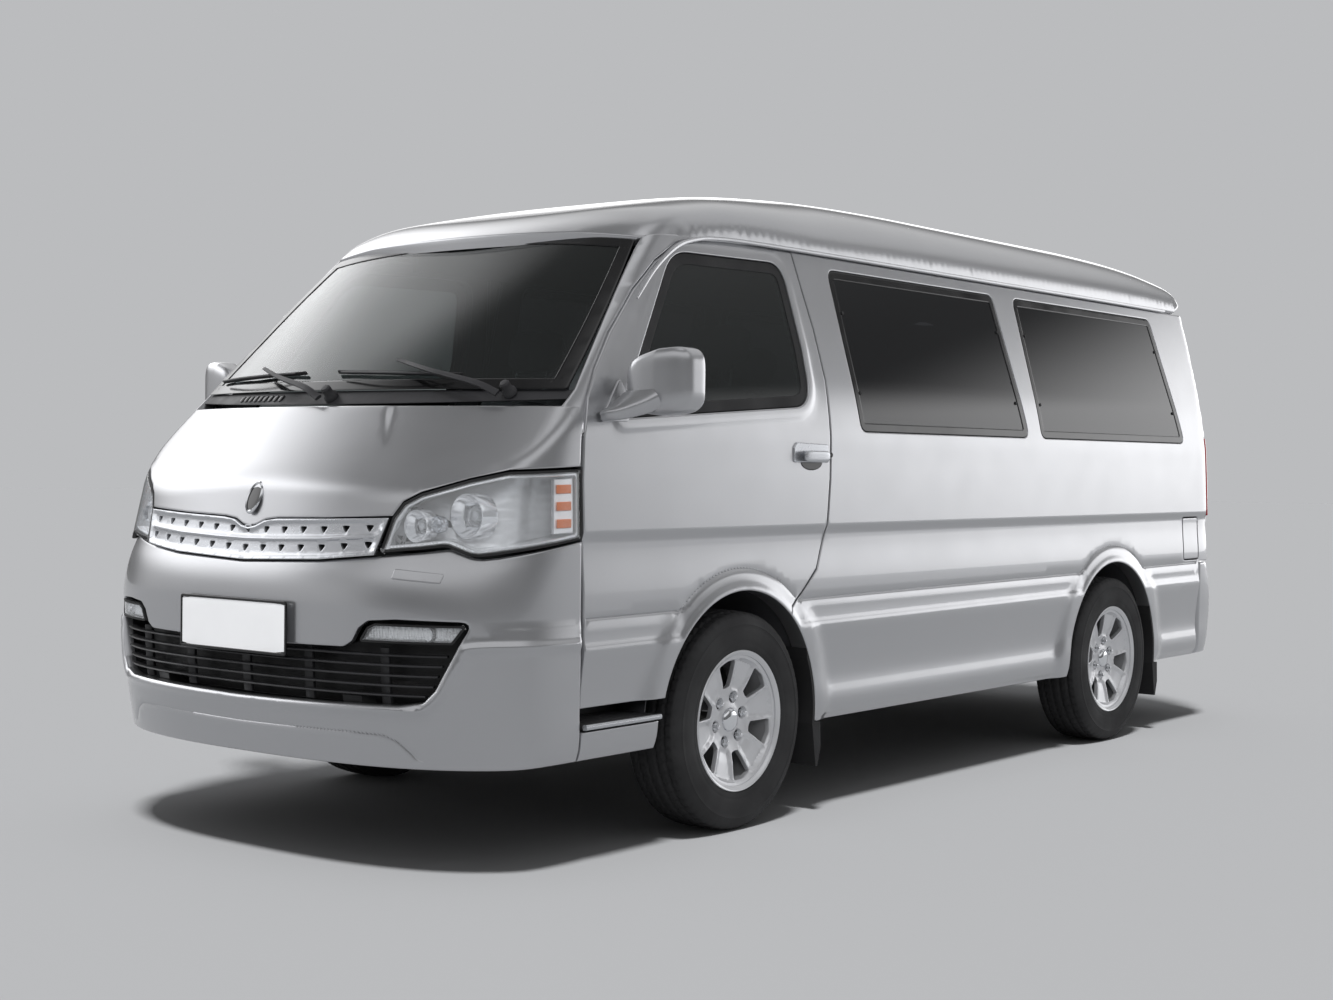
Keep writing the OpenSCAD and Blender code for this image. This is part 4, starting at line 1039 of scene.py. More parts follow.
def pillarForms():
    # Strip between the windshield and the door, on the screen's chart
    edge = sideSpots(screenChart, upperField, shifted(np.vstack([doorFront, [(-0.5, 1.8), (-0.5, 0.4)]]),
                                                      flank["seam"])[3:11])
    heights = np.linspace(1.262, 1.785, 12)
    half = np.interp(heights, [1.304, 1.772], [0.775, 0.645])
    glassSide = frontSpots(screenChart, upperField, np.stack([half, heights], 1))
    loop = np.concatenate([glassSide, edge[::-1]])
    return panelForms(screenChart, upperField, loop, depth=0.03, inner="trimDark", pitch=0.014)


panes, doorPane = buildFlanks()
print("flanks built")

# Outlines in front view, left half, from the middle outwards
lampLoop = np.array([(0.489, 0.863), (0.506, 0.956), (0.529, 0.996), (0.570, 1.021), (0.678, 1.059), (0.758, 1.082)])
lampFoot = np.array([(0.758, 0.861), (0.733, 0.857), (0.714, 0.860), (0.661, 0.883), (0.600, 0.874)])
lampSeam = np.array([(-2.010, 1.091), (-2.010, 0.900)])
grilleTop = np.array([(0.0, 0.918), (0.028, 0.923), (0.062, 0.938), (0.110, 0.944), (0.300, 0.949), (0.498, 0.956)])
grilleFoot = np.array([(0.476, 0.857), (0.300, 0.840), (0.0, 0.829)])
mouthLoop = np.array([(0.0, 0.606), (0.405, 0.612), (0.432, 0.628), (0.452, 0.664), (0.480, 0.684), (0.560, 0.690),
                      (0.738, 0.686), (0.712, 0.630), (0.655, 0.505), (0.625, 0.472), (0.560, 0.462), (0.0, 0.456)])
fogLoop = np.array([(0.452, 0.628), (0.478, 0.668), (0.500, 0.678), (0.726, 0.677), (0.697, 0.628)])


def bothHalves(half):
    # Left half, then its mirror image in the opposite order
    half = np.asarray(half, float)
    other = half[::-1] * np.array([-1, 1])
    return np.concatenate([half, other[other[:, 0] < -1e-6]])


def fullLoop(half):
    # Closed outline from a half that begins and ends on the middle line
    return np.concatenate([half, (half * [-1, 1])[::-1][1:-1]])


def lampSpots():
    ring = np.concatenate([frontSpots(noseChart, upperField, lampLoop),
                           sideSpots(noseChart, upperField, lampSeam),
                           frontSpots(noseChart, upperField, lampFoot)])
    return rounded(ring, [0.006] + [0.02] * 5 + [0.008, 0.008] + [0.03] * 5, 5)


def seamSpots(field, z0, z1, count=8):
    z = np.linspace(z0, z1, count)
    y = np.interp(z, doorFront[:, 1], doorFront[:, 0]) - 2 * flank["seam"]
    return sideSpots(noseChart, field, np.stack([y, z], 1))


lipPath = [(0.0, 0.443), (0.560, 0.450), (0.632, 0.462), (0.668, 0.500), (0.690, 0.545), (0.716, 0.595), (0.745, 0.620)]
skirtPath = [(0.0, 0.380), (0.40, 0.385), (0.510, 0.382), (0.551, 0.365), (0.592, 0.322)]


def bumperLines():
    # Lip and skirt seam on the chart, left side
    seam = seamSpots(lowerField, 0.618, 0.618, 1)
    lip = np.concatenate([frontSpots(noseChart, lowerField, lipPath), seam])
    return smoothPath(lip, 5), frontSpots(noseChart, lowerField, skirtPath)


def bumperRaised(u, v):
    # Rounded lip round the mouth and on to the door, a thin seam above the skirt, cladding on the corners
    lip, skirt = bumperMarks
    side = np.abs(u)
    ridge = 0.009 * np.exp(-(distanceTo(side, v, lip) / 0.011) ** 2)
    groove = -0.003 * np.exp(-(distanceTo(side, v, skirt) / 0.003) ** 2)
    share = softStep((side - 0.70) / 0.06)
    step = -0.004 * softStep((v - 0.668) / 0.006) * share * softStep((0.9 - v) / 0.1) + 0.004 * share
    return ridge + groove + step * softStep((0.80 - v) / 0.06)


bumperMarks = bumperLines()


def noseRaised(u, v):
    # Raised middle of the bonnet between two slanted creases, fading at the brow
    edge = 0.345 + 0.35 * (1.25 - v)
    x = np.abs(u)
    return 0.010 * softStep((edge - x) / 0.014) * np.clip((v - 1.142) / 0.10, 0, 1)


def buildNose():
    lampTop = frontSpots(noseChart, upperField, lampLoop[1:] + [0, 0.005])
    top = frontSpots(noseChart, upperField, [(x, 1.262) for x in (0.66, 0.5, 0.3, 0.15, 0.0)])
    edge = seamSpots(upperField, 1.098, 1.262)
    brow = frontSpots(noseChart, upperField, grilleTop + [0, 0.003])
    loop = fullLoop(np.concatenate([brow[:-1], lampTop, edge, top]))
    crease = [np.array([(side * (0.345 + s), 1.25), (side * (0.384 + s), 1.14)]) for side in (-1, 1)
              for s in (-0.014, -0.007, 0, 0.007, 0.014)]
    panel = panelForms(noseChart, upperField, loop, depth=0.025, pitch=0.015, raised=noseRaised, lines=crease)
    makePiece("nosePanel", panel, "body", ["nose_panel"])


def buildBumper():
    lampLow = frontSpots(noseChart, lowerField, lampFoot[::-1] - [0, 0.006])
    brow = frontSpots(noseChart, lowerField, grilleFoot[::-1] - [0, 0.004])
    edge = seamSpots(lowerField, 0.894, 0.292, 18)
    foot = frontSpots(noseChart, lowerField, [(x, 0.292) for x in (0.7, 0.5, 0.3, 0.15, 0.0)])
    loop = fullLoop(np.concatenate([brow, lampLow, edge, foot]))
    mouth = rounded(bothHalves(frontSpots(noseChart, lowerField, mouthLoop)), 0.02, 5)
    reach = seamSpots(lowerField, 0.66, 0.66, 1)[0, 0]
    lipSteps, skirtSteps = (-0.02, -0.011, -0.005, 0, 0.005, 0.011, 0.02), (-0.004, 0, 0.004)
    lines = []
    for side in (-1, 1):
        lines += [np.array([(side * 0.70, 0.668 + s), (side * reach, 0.668 + s)]) for s in (-0.008, 0.0, 0.008)]
        for path, steps in zip(bumperMarks, (lipSteps, skirtSteps)):
            ahead = np.gradient(path, axis=0)
            ahead /= np.linalg.norm(ahead, axis=1, keepdims=True)
            across = np.stack([-ahead[:, 1], ahead[:, 0]], 1)
            lines += [(path + s * across) * [side, 1] for s in steps]
    bumper = panelForms(noseChart, lowerField, loop, [mouth], depth=0.028, pitch=0.015, roll=0.005,
                        raised=bumperRaised, lines=lines)
    # Washer cap: a thin lid on the bumper
    cap = frontSpots(noseChart, lowerField, [(0.538, 0.823), (0.664, 0.812), (0.660, 0.786), (0.534, 0.796)])
    lid = panelForms(noseChart, lowerField, rounded(cap, 0.006), depth=0.004, level=0.0012, roll=0.0015, pitch=0.01)
    makePiece("frontBumper", bumper + lid, "body", ["front_bumper"])
    return mouth


def roofSpots(points):
    points = np.asarray(points, float)
    return np.stack([0.6 * np.arctan2(points[:, 0], points[:, 2] - 1.38), points[:, 1]], 1)


def screenTop(x, z0=1.772, z1=1.812):
    # Curved top edge of the windshield
    return z1 - (z1 - z0) * (np.asarray(x) / 0.64) ** 2


# Drip gutters run from the tail along the roof's foot and down the screen pillars, thinner at their front ends
gutterRail = {"path": [(0.694, 2.075, 1.803), (0.696, 1.5, 1.8045), (0.696, 0.5, 1.8045), (0.696, -0.5, 1.8045),
                       (0.696, -1.05, 1.803), (0.699, -1.25, 1.797), (0.705, -1.36, 1.784), (0.717, -1.47, 1.752),
                       (0.736, -1.59, 1.678), (0.757, -1.70, 1.580)],
              "width": 0.018, "height": 0.013, "thinned": 16, "thinTo": 0.35}


def buildRoof():
    x = np.linspace(0, 0.648, 14)
    start = np.stack([x, 0 * x - 0.3, screenTop(x) + 0.006], 1)
    front = castTo(lambda p: smoothMax([screenField(p), sideField(p)], 0.02), start, np.tile([0.0, -1.0, 0.0], (14, 1)))
    y = np.array([-1.46, -1.38, -1.30, -1.2, -1.0, -0.5, 0.5, 1.5, 2.1, 2.2])
    gutter = smoothLine(y, roofRows[:, 0], roofRows[:, 1], 0.16) + 0.004
    side = np.stack([0.6 * np.arctan2(0.690 + 0 * y, gutter - 1.38), y], 1)
    # The back edge steps in over the tailgate
    notch = np.array([1.81, 1.83, 1.86])
    rear = np.concatenate([np.stack([gateEdge(notch) + 0.006, 0 * notch + 1.2, notch], 1),
                           [(x, 1.0, 1.887) for x in (0.52, 0.3, 0.0)]])
    rear = castTo(tailField, rear, np.tile([0.0, 1.0, 0.0], (6, 1)))
    loop = fullLoop(np.concatenate([roofSpots(front), side, roofSpots(rear)]))
    panel = panelForms(roofChart, crownField, loop, depth=0.03, pitch=0.024, roll=0.004, inner="trimGrey")
    path = smoothPath(gutterRail["path"], 8)
    size = np.ones(len(path))
    size[-gutterRail["thinned"]:] = np.linspace(1, gutterRail["thinTo"], gutterRail["thinned"])
    rail = sweep(path, oval(gutterRail["width"], gutterRail["height"], 12, 3), "paint", scale=size)
    # Inner rail that closes the joint between the roof and the side
    inner = sweep([(0.634, y, 1.800) for y in np.linspace(-1.21, 2.11, 12)], oval(0.024, 0.072, 12, 5), "trimGrey")
    makePiece("roofPanel", panel + [rail, mirrored(rail), inner, mirrored(inner)], "body", ["roof"])


# Tailgate in rear view: corners and pane of the left half; number plate field, waist crease, handle, wiper
tailgate = {"corners": [(0.70, 0.803), (0.70, 1.30), (0.57, 1.88)], "pane": [(0.61, 1.29), (0.51, 1.77)],
            "fieldHalf": 0.27, "fieldLow": 0.90, "fieldHigh": 1.08, "fieldDepth": 0.012, "crease": 1.16,
            "handle": (0.30, 0.022, 0.045), "handleAt": (0, 2.478, 1.115),
            "wiper": [(0.0, 2.462, 1.262), (-0.05, 2.474, 1.30), (-0.30, 2.470, 1.33), (-0.42, 2.462, 1.34)]}


def tailgateRaised(u, v):
    # Shallow sunken field for the number plate, and a waist crease
    inX = softStep((tailgate["fieldHalf"] - np.abs(u)) / 0.012)
    inZ = softStep((v - tailgate["fieldLow"]) / 0.012) * softStep((tailgate["fieldHigh"] - v) / 0.012)
    return -tailgate["fieldDepth"] * inX * inZ + 0.004 * softStep((tailgate["crease"] - v) / 0.008)


def buildTailgate():
    gate = rounded(bothHalves(frontSpots(tailChart, tailField, tailgate["corners"])), 0.05)
    pane = rounded(bothHalves(frontSpots(tailChart, tailField, tailgate["pane"])), 0.06)
    half, steps = tailgate["fieldHalf"], (-0.012, 0, 0.012)
    lines = [row(-0.66, 0.66, tailgate["crease"] + s) for s in (-0.008, 0, 0.008)]
    lines += [row(-0.28, 0.28, z + s) for z in (tailgate["fieldLow"], tailgate["fieldHigh"]) for s in steps]
    lines += [np.array([(x + s, 0.89), (x + s, 1.09)]) for x in (-half, half) for s in steps]
    panel = panelForms(tailChart, tailField, gate, [grown(pane, 0.002)], depth=0.042, raised=tailgateRaised,
                       lines=lines, inner="trimGrey", pitch=0.016, flip=True)
    handle = roundedBox(tailgate["handle"], "chrome", tailgate["handleAt"], 4)
    wiper = sweep(smoothPath(tailgate["wiper"], 8), oval(0.014, 0.010, 10), "blackPlastic")
    makePiece("tailgatePanel", panel + [handle, wiper], "tailgate", ["tailgate"])
    return pane


def buildTail():
    sill = bothHalves(frontSpots(tailChart, tailField, [(0.70, 0.706), (0.70, 0.796)]))
    sill = panelForms(tailChart, tailField, sill, depth=0.02, pitch=0.02, flip=True)
    edge = sideSpots(tailChart, lowerField, [(2.2105, z) for z in np.linspace(0.292, 0.698, 8)])
    foot = frontSpots(tailChart, lowerField, [(x, 0.292) for x in (0.0, 0.3, 0.6)])
    top = frontSpots(tailChart, lowerField, [(x, 0.698) for x in (0.6, 0.3, 0.0)])
    loop = fullLoop(np.concatenate([foot, edge, top]))
    bumper = panelForms(tailChart, lowerField, loop, depth=0.03, pitch=0.018, roll=0.008, flip=True)
    makePiece("rearBumper", bumper + sill, "body", ["rear_bumper"])
    inner = [tailSeam(gateEdge(z) + 0.010, [z])[0] for z in (1.247, 1.13, 1.01, 0.903)]
    loop = rounded(np.concatenate([[(2.303, 0.903), (2.286, 1.247)], inner]), 0.006)
    lens = panelForms(leftChart, upperField, loop, depth=0.03, level=0.003, finish="lampRed", inner="chassis",
                      pitch=0.012)
    makePiece("tailLamps", lens + mirroredAll(lens), "body", ["tail_lamps"])


buildNose()
mouthOutline = buildBumper()
buildRoof()
gatePane = buildTailgate()
buildTail()
print("nose, roof and tail built")


# Glass: dark panes with black borders, set flush
def paneForms(chart, field, outline, glass, border=0.028, level=-0.003, flip=False, edge="glossBlack", pitch=0.03):
    # Pane, the black border on it, and a seal behind both that closes the gap to the body
    common = dict(roll=0.001, flip=flip)
    sheet = panelForms(chart, field, grown(outline, -border * 0.6), depth=0.005, level=level, finish=glass,
                       inner=glass, pitch=pitch, **common)
    ring = panelForms(chart, field, outline, [grown(outline, -border)], depth=0.008, level=level + 0.0022,
                      finish=edge, inner=edge, pitch=0.028, roll=0.002, flip=flip)
    if chart is screenChart:
        return sheet + ring
    seal = panelForms(chart, field, grown(outline, 0.008), [grown(outline, -border * 0.8)], depth=0.006,
                      level=level - 0.0085, finish="rubber", inner="rubber", pitch=0.040, **common)
    return sheet + ring + seal


def screenOutline():
    # Windshield in its own chart, a little inside its opening
    x = np.linspace(-0.638, 0.638, 22)
    foot = frontSpots(screenChart, upperField, np.stack([np.linspace(-0.766, 0.766, 16), np.full(16, 1.306)], 1))
    top = frontSpots(screenChart, upperField, np.stack([x, screenTop(x)], 1))[::-1]
    return grown(np.concatenate([foot, top]), -0.004)


def paneStuds(pane):
    # Small round fixings near the upright edges
    profile = [(0.0, 0.002), (0.006, 0.0015), (0.007, -0.006), (0.0, -0.006)]
    stud = moved(lathe(profile, "rubber", 16, "X", close=False), turn("Y", -13))
    foot, head = (pane[places, 0] for places in (pane[:, 1] < 1.3, pane[:, 1] > 1.7))
    studs = []
    for z in (1.35, 1.615):
        lean = np.interp(z, [1.222, 1.754], [0.0, 1.0])
        for low, high, inset in ((foot.min(), head.min(), 0.036), (foot.max(), head.max(), -0.036)):
            spot = onSkin(upperField, leftChart, [(low * (1 - lean) + high * lean + inset, z)])[0]
            studs.append(moved(stud, None, spot))
    return studs


def buildGlass():
    door = paneForms(leftChart, upperField, doorPane, "doorGlass", 0.034, edge="rubber")
    slide, fixed = (paneForms(leftChart, upperField, pane, "tintedGlass") + paneStuds(pane) for pane in panes)
    makePiece("doorGlassLeft", door, "door_left", ["door_glass_left"])
    makePiece("sideGlassLeft", fixed + slide, "body", ["side_glass_left"])
    makePiece("doorGlassRight", mirroredAll(door), "door_right", ["door_glass_right"])
    makePiece("sideGlassRight", mirroredAll(fixed), "body", ["side_glass_right"])
    makePiece("slidingGlass", mirroredAll(slide), "body", ["sliding_glass"])
    gate = paneForms(tailChart, tailField, gatePane, "tintedGlass", flip=True)
    makePiece("tailgateGlass", gate, "tailgate", ["tailgate_glass"])
    screenPane = paneForms(screenChart, upperField, rounded(screenOutline(), 0.01), "clearGlass", 0.030, 0.0,
                           pitch=0.05)
    makePiece("windshieldPane", screenPane, "body", ["windshield"])


buildGlass()
print("glass set")


def frontForms(outline, **more):
    return panelForms(noseChart, more.pop("field", upperField), outline, **more)


def skinPoint(field, x, z, level=0.0):
    # Point of the skin in front view, set in or out by the level
    start = np.array([[x, -0.4, z]], float)
    return castTo(lambda p: field(p) - level, start, np.array([[0.0, -1.0, 0.0]]))[0]


# Rows of holes by their share of the height, holes a row, spacing, half width of a hole, height of the lip
grille = {"rows": (0.29, 0.735), "count": 13, "spacing": 0.0665, "hole": 0.0125, "lip": 0.006}


def buildGrille():
    top = frontSpots(noseChart, upperField, grilleTop)
    foot = frontSpots(noseChart, upperField, grilleFoot[::-1])
    loop = fullLoop(np.concatenate([top, foot[::-1]]))
    topLine = np.concatenate([(top * [-1, 1])[:0:-1], top])
    footLine = np.concatenate([(foot * [-1, 1])[:0:-1], foot])
    endTop, endFoot = top[-1], foot[-1]
    # The plain top edge, without the dip in its middle, leads the ridge and the rows
    plainTop = np.array([(-endTop[0], endTop[1]), (-0.11, top[3, 1]), (0.11, top[3, 1]), (endTop[0], endTop[1])])

    def level(u, t):
        return np.interp(u, footLine[:, 0], footLine[:, 1]) * (1 - t) + np.interp(u, plainTop[:, 0], plainTop[:, 1]) * t

    def raised(u, v):
        # Two sunken bands, a ridge between them, a lip all round that follows the dip
        end = endFoot[0] + (endTop[0] - endFoot[0]) * (v - endFoot[1]) / (endTop[1] - endFoot[1])
        lip = softStep((np.interp(u, topLine[:, 0], topLine[:, 1]) - v - 0.0095) / 0.004)
        foot = softStep((v - np.interp(u, footLine[:, 0], footLine[:, 1]) - 0.009) / 0.004)
        ridge = softStep((np.abs(v - level(u, 0.51)) - 0.0055) / 0.0035)
        return grille["lip"] * (1 - lip * foot * ridge * softStep((end - 0.012 - np.abs(u)) / 0.006)) - 0.002

    size, holes = grille["hole"], []
    triangle = size * np.array([(-1, 0.6), (1, 0.6), (0, -1)])
    for share in grille["rows"]:
        for number in range(grille["count"]):
            u = (number - grille["count"] // 2) * grille["spacing"]
            holes.append(rounded(triangle + [u, float(level(u, share))], 0.004, 4))
    u = np.linspace(-endFoot[0] + 0.01, endFoot[0] - 0.01, 60)
    lines = [np.stack([u, level(u, t)], 1) for t in (0.05, 0.09, 0.13, 0.41, 0.44, 0.47, 0.51, 0.55, 0.58, 0.61)]
    lines += [topLine - [0, s] for s in (0.004, 0.0075, 0.0115, 0.015)]
    face = frontForms(loop, holes=holes, depth=0.014, finish="silverTrim", inner="chassis", pitch=0.009, roll=0.0015,
                      raised=raised, lines=lines)
    back = frontForms(grown(loop, -0.004), depth=0.004, level=-0.020, finish="chassis", inner="chassis", pitch=0.03)
    makePiece("grilleFace", face + back, "body", ["grille"])


def buildBadge():
    # Plain oval badge with no mark
    ring = lathe([(0.032, 0.0), (0.040, 0.0), (0.040, 0.003), (0.036, 0.007), (0.032, 0.005)], "chrome", 40)
    plain = lathe([(0.0, 0.0035), (0.016, 0.0042), (0.0325, 0.003), (0.0325, -0.004), (0.0, -0.004)], "glossBlack",
                  40, close=False)
    lean = turn("X", 66) @ np.diag([0.72, 1.25, 1.0])
    place = skinPoint(upperField, 0.0, 1.000) - [0, 0.001, 0]
    makePiece("plainBadge", [moved(form, lean, place) for form in (ring, plain)], "body")


def bowl(radius, depth, inner):
    # Round reflector that faces -y: a bright ring, a dish behind it and a small cap in the middle
    t = np.linspace(0, 1, 10)
    dish = [(radius * 0.94 * (1 - u) + inner * u, -depth * math.sin(u * math.pi / 2)) for u in t]
    ring = [(radius * 0.94, 0.0), (radius * 0.96, 0.006), (radius, 0.006), (radius * 1.05, 0.0),
            (radius * 1.05, -depth * 1.1), (radius, -depth * 1.15)]
    cap = [(inner, -depth), (inner * 0.98, -depth * 0.55), (inner * 0.6, -depth * 0.45), (0.0, -depth * 0.42)]
    heart = [(inner * 0.5, -depth), (inner * 0.5, -depth * 0.6), (0.0, -depth * 0.55)]
    forms = [lathe(ring[::-1] + dish + [(inner, -depth * 1.15)], "lampChrome", 56),
             lathe(cap, "lens", 40, close=False), lathe(heart, "reflector", 24, close=False)]
    return [moved(form, turn("X", 90)) for form in forms]


# Headlamp inside: round bowls (front view place, set-back, radius), bulb, amber bars and the field behind them
headlamp = {"bowls": [(0.650, 0.962, 0.078, 0.060), (0.548, 0.934, 0.045, 0.043)], "bulb": (0.062, 0.012, 0.006),
            "bars": (0.931, 0.978, 1.024),
            "field": [(-2.115, 1.062), (-2.040, 1.066), (-2.040, 0.918), (-2.120, 0.915)]}


def flutes(u, v):
    # Folds of the reflector housing: level ribs in its outer part, waves behind the bowls
    outer = softStep((np.abs(u) - 0.60) / 0.04)
    return 0.0016 * np.sin(v * 260) * outer + 0.006 * np.sin(v * 70 + u * 25) * (1 - outer)


def buildHeadlamps():
    loop = lampSpots()
    forms = frontForms(grown(loop, -0.007), depth=0.003, level=-0.001, finish="lens", inner="lens", pitch=0.02,
                       roll=0.001)
    forms += frontForms(loop, holes=[grown(loop, -0.008)], depth=0.012, level=-0.0015, finish="rubber",
                        inner="rubber", pitch=0.012, roll=0.002)
    forms += frontForms(grown(loop, -0.0085), holes=[grown(loop, -0.017)], depth=0.118, level=-0.007,
                        finish="lampChrome", inner="chassis", pitch=0.012, roll=0.003)
    forms += frontForms(grown(loop, -0.016), depth=0.004, level=-0.122, finish="reflector", inner="chassis",
                        pitch=0.010, raised=flutes)
    for x, z, back, radius in headlamp["bowls"]:
        spot = skinPoint(upperField, x, z) + [0, back, 0]
        forms += [moved(form, None, spot) for form in bowl(radius, radius * 0.75, radius * 0.42)]
    spot = spot + headlamp["bulb"]
    collar = lathe([(0.017, 0), (0.022, 0.004), (0.024, 0.0), (0.022, -0.02), (0.017, -0.02)], "chrome", 32)
    forms += [roundedBox((0.034, 0.03, 0.034), "lens", spot, 2.2, 16), moved(collar, turn("X", 90), spot)]
    # Side marker: three amber bars on a bright field
    field = sideSpots(noseChart, upperField, headlamp["field"])
    forms += frontForms(field, depth=0.03, level=-0.016, finish="reflector", inner="chassis", pitch=0.012)
    for low in headlamp["bars"]:
        bar = sideSpots(noseChart, upperField, [(-2.110, low), (-2.050, low + 0.001), (-2.050, low + 0.025),
                                                (-2.108, low + 0.024)])
        forms += frontForms(rounded(bar, 0.002, 3), depth=0.008, level=-0.009, finish="amber", inner="amber",
                            pitch=0.008, roll=0.0015)
    makePiece("headlampUnits", forms + mirroredAll(forms), "body", ["headlamps"])


def buildFogLamps():
    loop = rounded(frontSpots(noseChart, lowerField, fogLoop), 0.008, 5)
    inside = grown(loop, -0.006)
    forms = frontForms(inside, field=lowerField, depth=0.003, level=-0.004, finish="lens", inner="lens",
                       pitch=0.014, roll=0.001)
    forms += frontForms(loop, field=lowerField, holes=[grown(loop, -0.005)], depth=0.03, level=-0.002,
                        finish="rubber", inner="rubber", pitch=0.012, roll=0.002)
    forms += frontForms(inside, field=lowerField, depth=0.004, level=-0.030, finish="reflector", inner="chassis",
                        pitch=0.0035, raised=lambda u, v: 0.0015 * np.sin(u * 900))
    spot = skinPoint(lowerField, 0.628, 0.652) + [0, 0.028, 0]
    forms += [moved(form, None, spot) for form in bowl(0.017, 0.012, 0.007)]
    makePiece("fogLamps", forms + mirroredAll(forms), "body", ["fog_lamps"])


# Lower grille: heights of the level bars, places of the uprights
mouth = {"bars": (0.487, 0.513, 0.540, 0.567, 0.594), "uprights": (-0.52, -0.26, 0.0, 0.26, 0.52)}


def buildMouth():
    forms = []
    for z in mouth["bars"]:
        reach = np.interp(z, [0.46, 0.50, 0.63], [0.60, 0.645, 0.70])
        spots = frontSpots(noseChart, lowerField, [(x, z) for x in np.linspace(-reach, reach, 60)])
        path = onSkin(lowerField, noseChart, spots, -0.030)
        forms.append(sweep(path, oval(0.030, 0.007, 12, 3), "blackPlastic"))
    for x in mouth["uprights"]:
        spots = frontSpots(noseChart, lowerField, [(x, z) for z in np.linspace(0.462, 0.612, 10)])
        path = onSkin(lowerField, noseChart, spots, -0.040)
        forms.append(sweep(path, oval(0.034, 0.012, 12, 4), "blackPlastic", up=(0, -1, 0)))
    forms += frontForms(grown(mouthOutline, 0.006), field=lowerField, depth=0.004, level=-0.085, finish="chassis",
                        inner="chassis", pitch=0.03)
    makePiece("lowerGrille", forms, "body", ["lower_grille"])


plate = {"width": 0.440, "height": 0.140, "middle": 0.650, "front": -2.5335, "edge": 0.0005}


def buildPlate():
    # Blank number plate in a thin frame
    sheet = roundedBox((plate["width"], 0.0035, plate["height"]), "plateWhite",
                       (0, plate["front"] + 0.0035, plate["middle"]), 40, 14)
    x, z = plate["width"] / 2 + plate["edge"], plate["height"] / 2 + plate["edge"]
    path = rounded([(-x, -z), (x, -z), (x, z), (-x, z)], 0.006, 5)
    path = np.stack([path[:, 0], 0 * path[:, 0] + plate["front"] + 0.003, path[:, 1] + plate["middle"]], 1)
    frame = sweep(path, oval(0.008, 0.006, 10, 3), "glossBlack", closed=True, up=(0, -1, 0))
    makePiece("blankPlate", [sheet, frame], "body")


def buildCowl():
    x = np.linspace(0.775, 0, 12)
    top = frontSpots(screenChart, upperField, np.stack([x, 1.308 + 0 * x], 1))
    foot = frontSpots(screenChart, upperField, np.stack([x[::-1], 1.267 + 0.014 * (x[::-1] / 0.775) ** 2], 1))
    strip = panelForms(screenChart, upperField, fullLoop(np.concatenate([foot, top])), depth=0.02, level=-0.006,
                       finish="blackPlastic", inner="chassis", pitch=0.016)
    # Slots of the air intake on the right
    slots = [roundedBox((0.018, 0.026, 0.004), "glossBlack", skinPoint(upperField, -0.22 - 0.028 * k, 1.289, -0.004),
                        3, 10, turn("X", 45)) for k in range(9)]
    makePiece("cowlStrip", strip + slots, "body", ["cowl"])


# Wipers: pivot, elbow, tip of the arm, two ends of the blade; all in front view (x, z)
wipers = [((0.014, 1.286), (-0.06, 1.318), (-0.395, 1.385), (-0.690, 1.352), (-0.180, 1.366)),
          ((0.610, 1.296), (0.54, 1.326), (0.203, 1.398), (-0.030, 1.366), (0.440, 1.352))]


def buildWipers():
    forms = []
    normal = np.array([0, -0.69, 0.72])
    post = [(0.0, 0.0), (0.021, 0.0), (0.021, 0.012), (0.015, 0.02), (0.015, 0.038), (0.011, 0.043), (0.0, 0.044)]

    def at(first, last, share, level, drop=0.0):
        # Place above the skin, part way between two places of the front view
        x, z = np.array(first) * (1 - share) + np.array(last) * share
        return skinPoint(upperField, x, z - drop, level)

    for pivot, elbow, tip, bladeEnd, bladeStart in wipers:
        arm = smoothPath([at(pivot, tip, 0, 0.030), at(elbow, tip, 0, 0.046), at(elbow, tip, 0.5, 0.044),
                          at(elbow, tip, 1, 0.030)], 8)
        blade = smoothPath([at(bladeStart, bladeEnd, share, 0.009) for share in (0, 0.5, 1)], 14)
        bow = [at(bladeStart, bladeEnd, share, 0.018 + 0.012 * math.sin(math.pi * share))
               for share in np.linspace(0.06, 0.94, 14)]
        hose = smoothPath([at(elbow, tip, 0, 0.036), at(elbow, tip, 0.4, 0.022, 0.012),
                           at(elbow, tip, 0.75, 0.024, 0.006), at(elbow, tip, 1, 0.026)], 8)
        forms += [sweep(arm, oval(0.020, 0.009, 12, 3), "blackPlastic", up=normal,
                        scale=np.linspace(1.15, 0.6, len(arm))),
                  moved(lathe(post, "blackPlastic", 28, close=False), turn("X", 44), at(pivot, tip, 0, -0.006)),
                  sweep(blade, oval(0.007, 0.013, 10, 2.5), "rubber", up=normal),
                  sweep(bow, oval(0.008, 0.005, 10), "blackPlastic", up=normal),
                  sweep(hose, oval(0.005, 0.005, 8), "rubber", up=normal)]
    makePiece("wiperArms", forms, "body", ["wipers"])


# Mirror: housing and glass with their middles, path of the arm, plate on the door
mirror = {"size": (0.190, 0.112, 0.187), "middle": (0.934, -1.790, 1.334),
          "glass": (0.162, 0.006, 0.152), "glassMiddle": (0.936, -1.735, 1.334),
          "arm": [(0.806, -1.908, 1.238), (0.838, -1.890, 1.252), (0.872, -1.856, 1.274), (0.906, -1.815, 1.302)],
          "sail": [(-1.932, 1.224), (-1.805, 1.224), (-1.800, 1.285), (-1.818, 1.352)]}


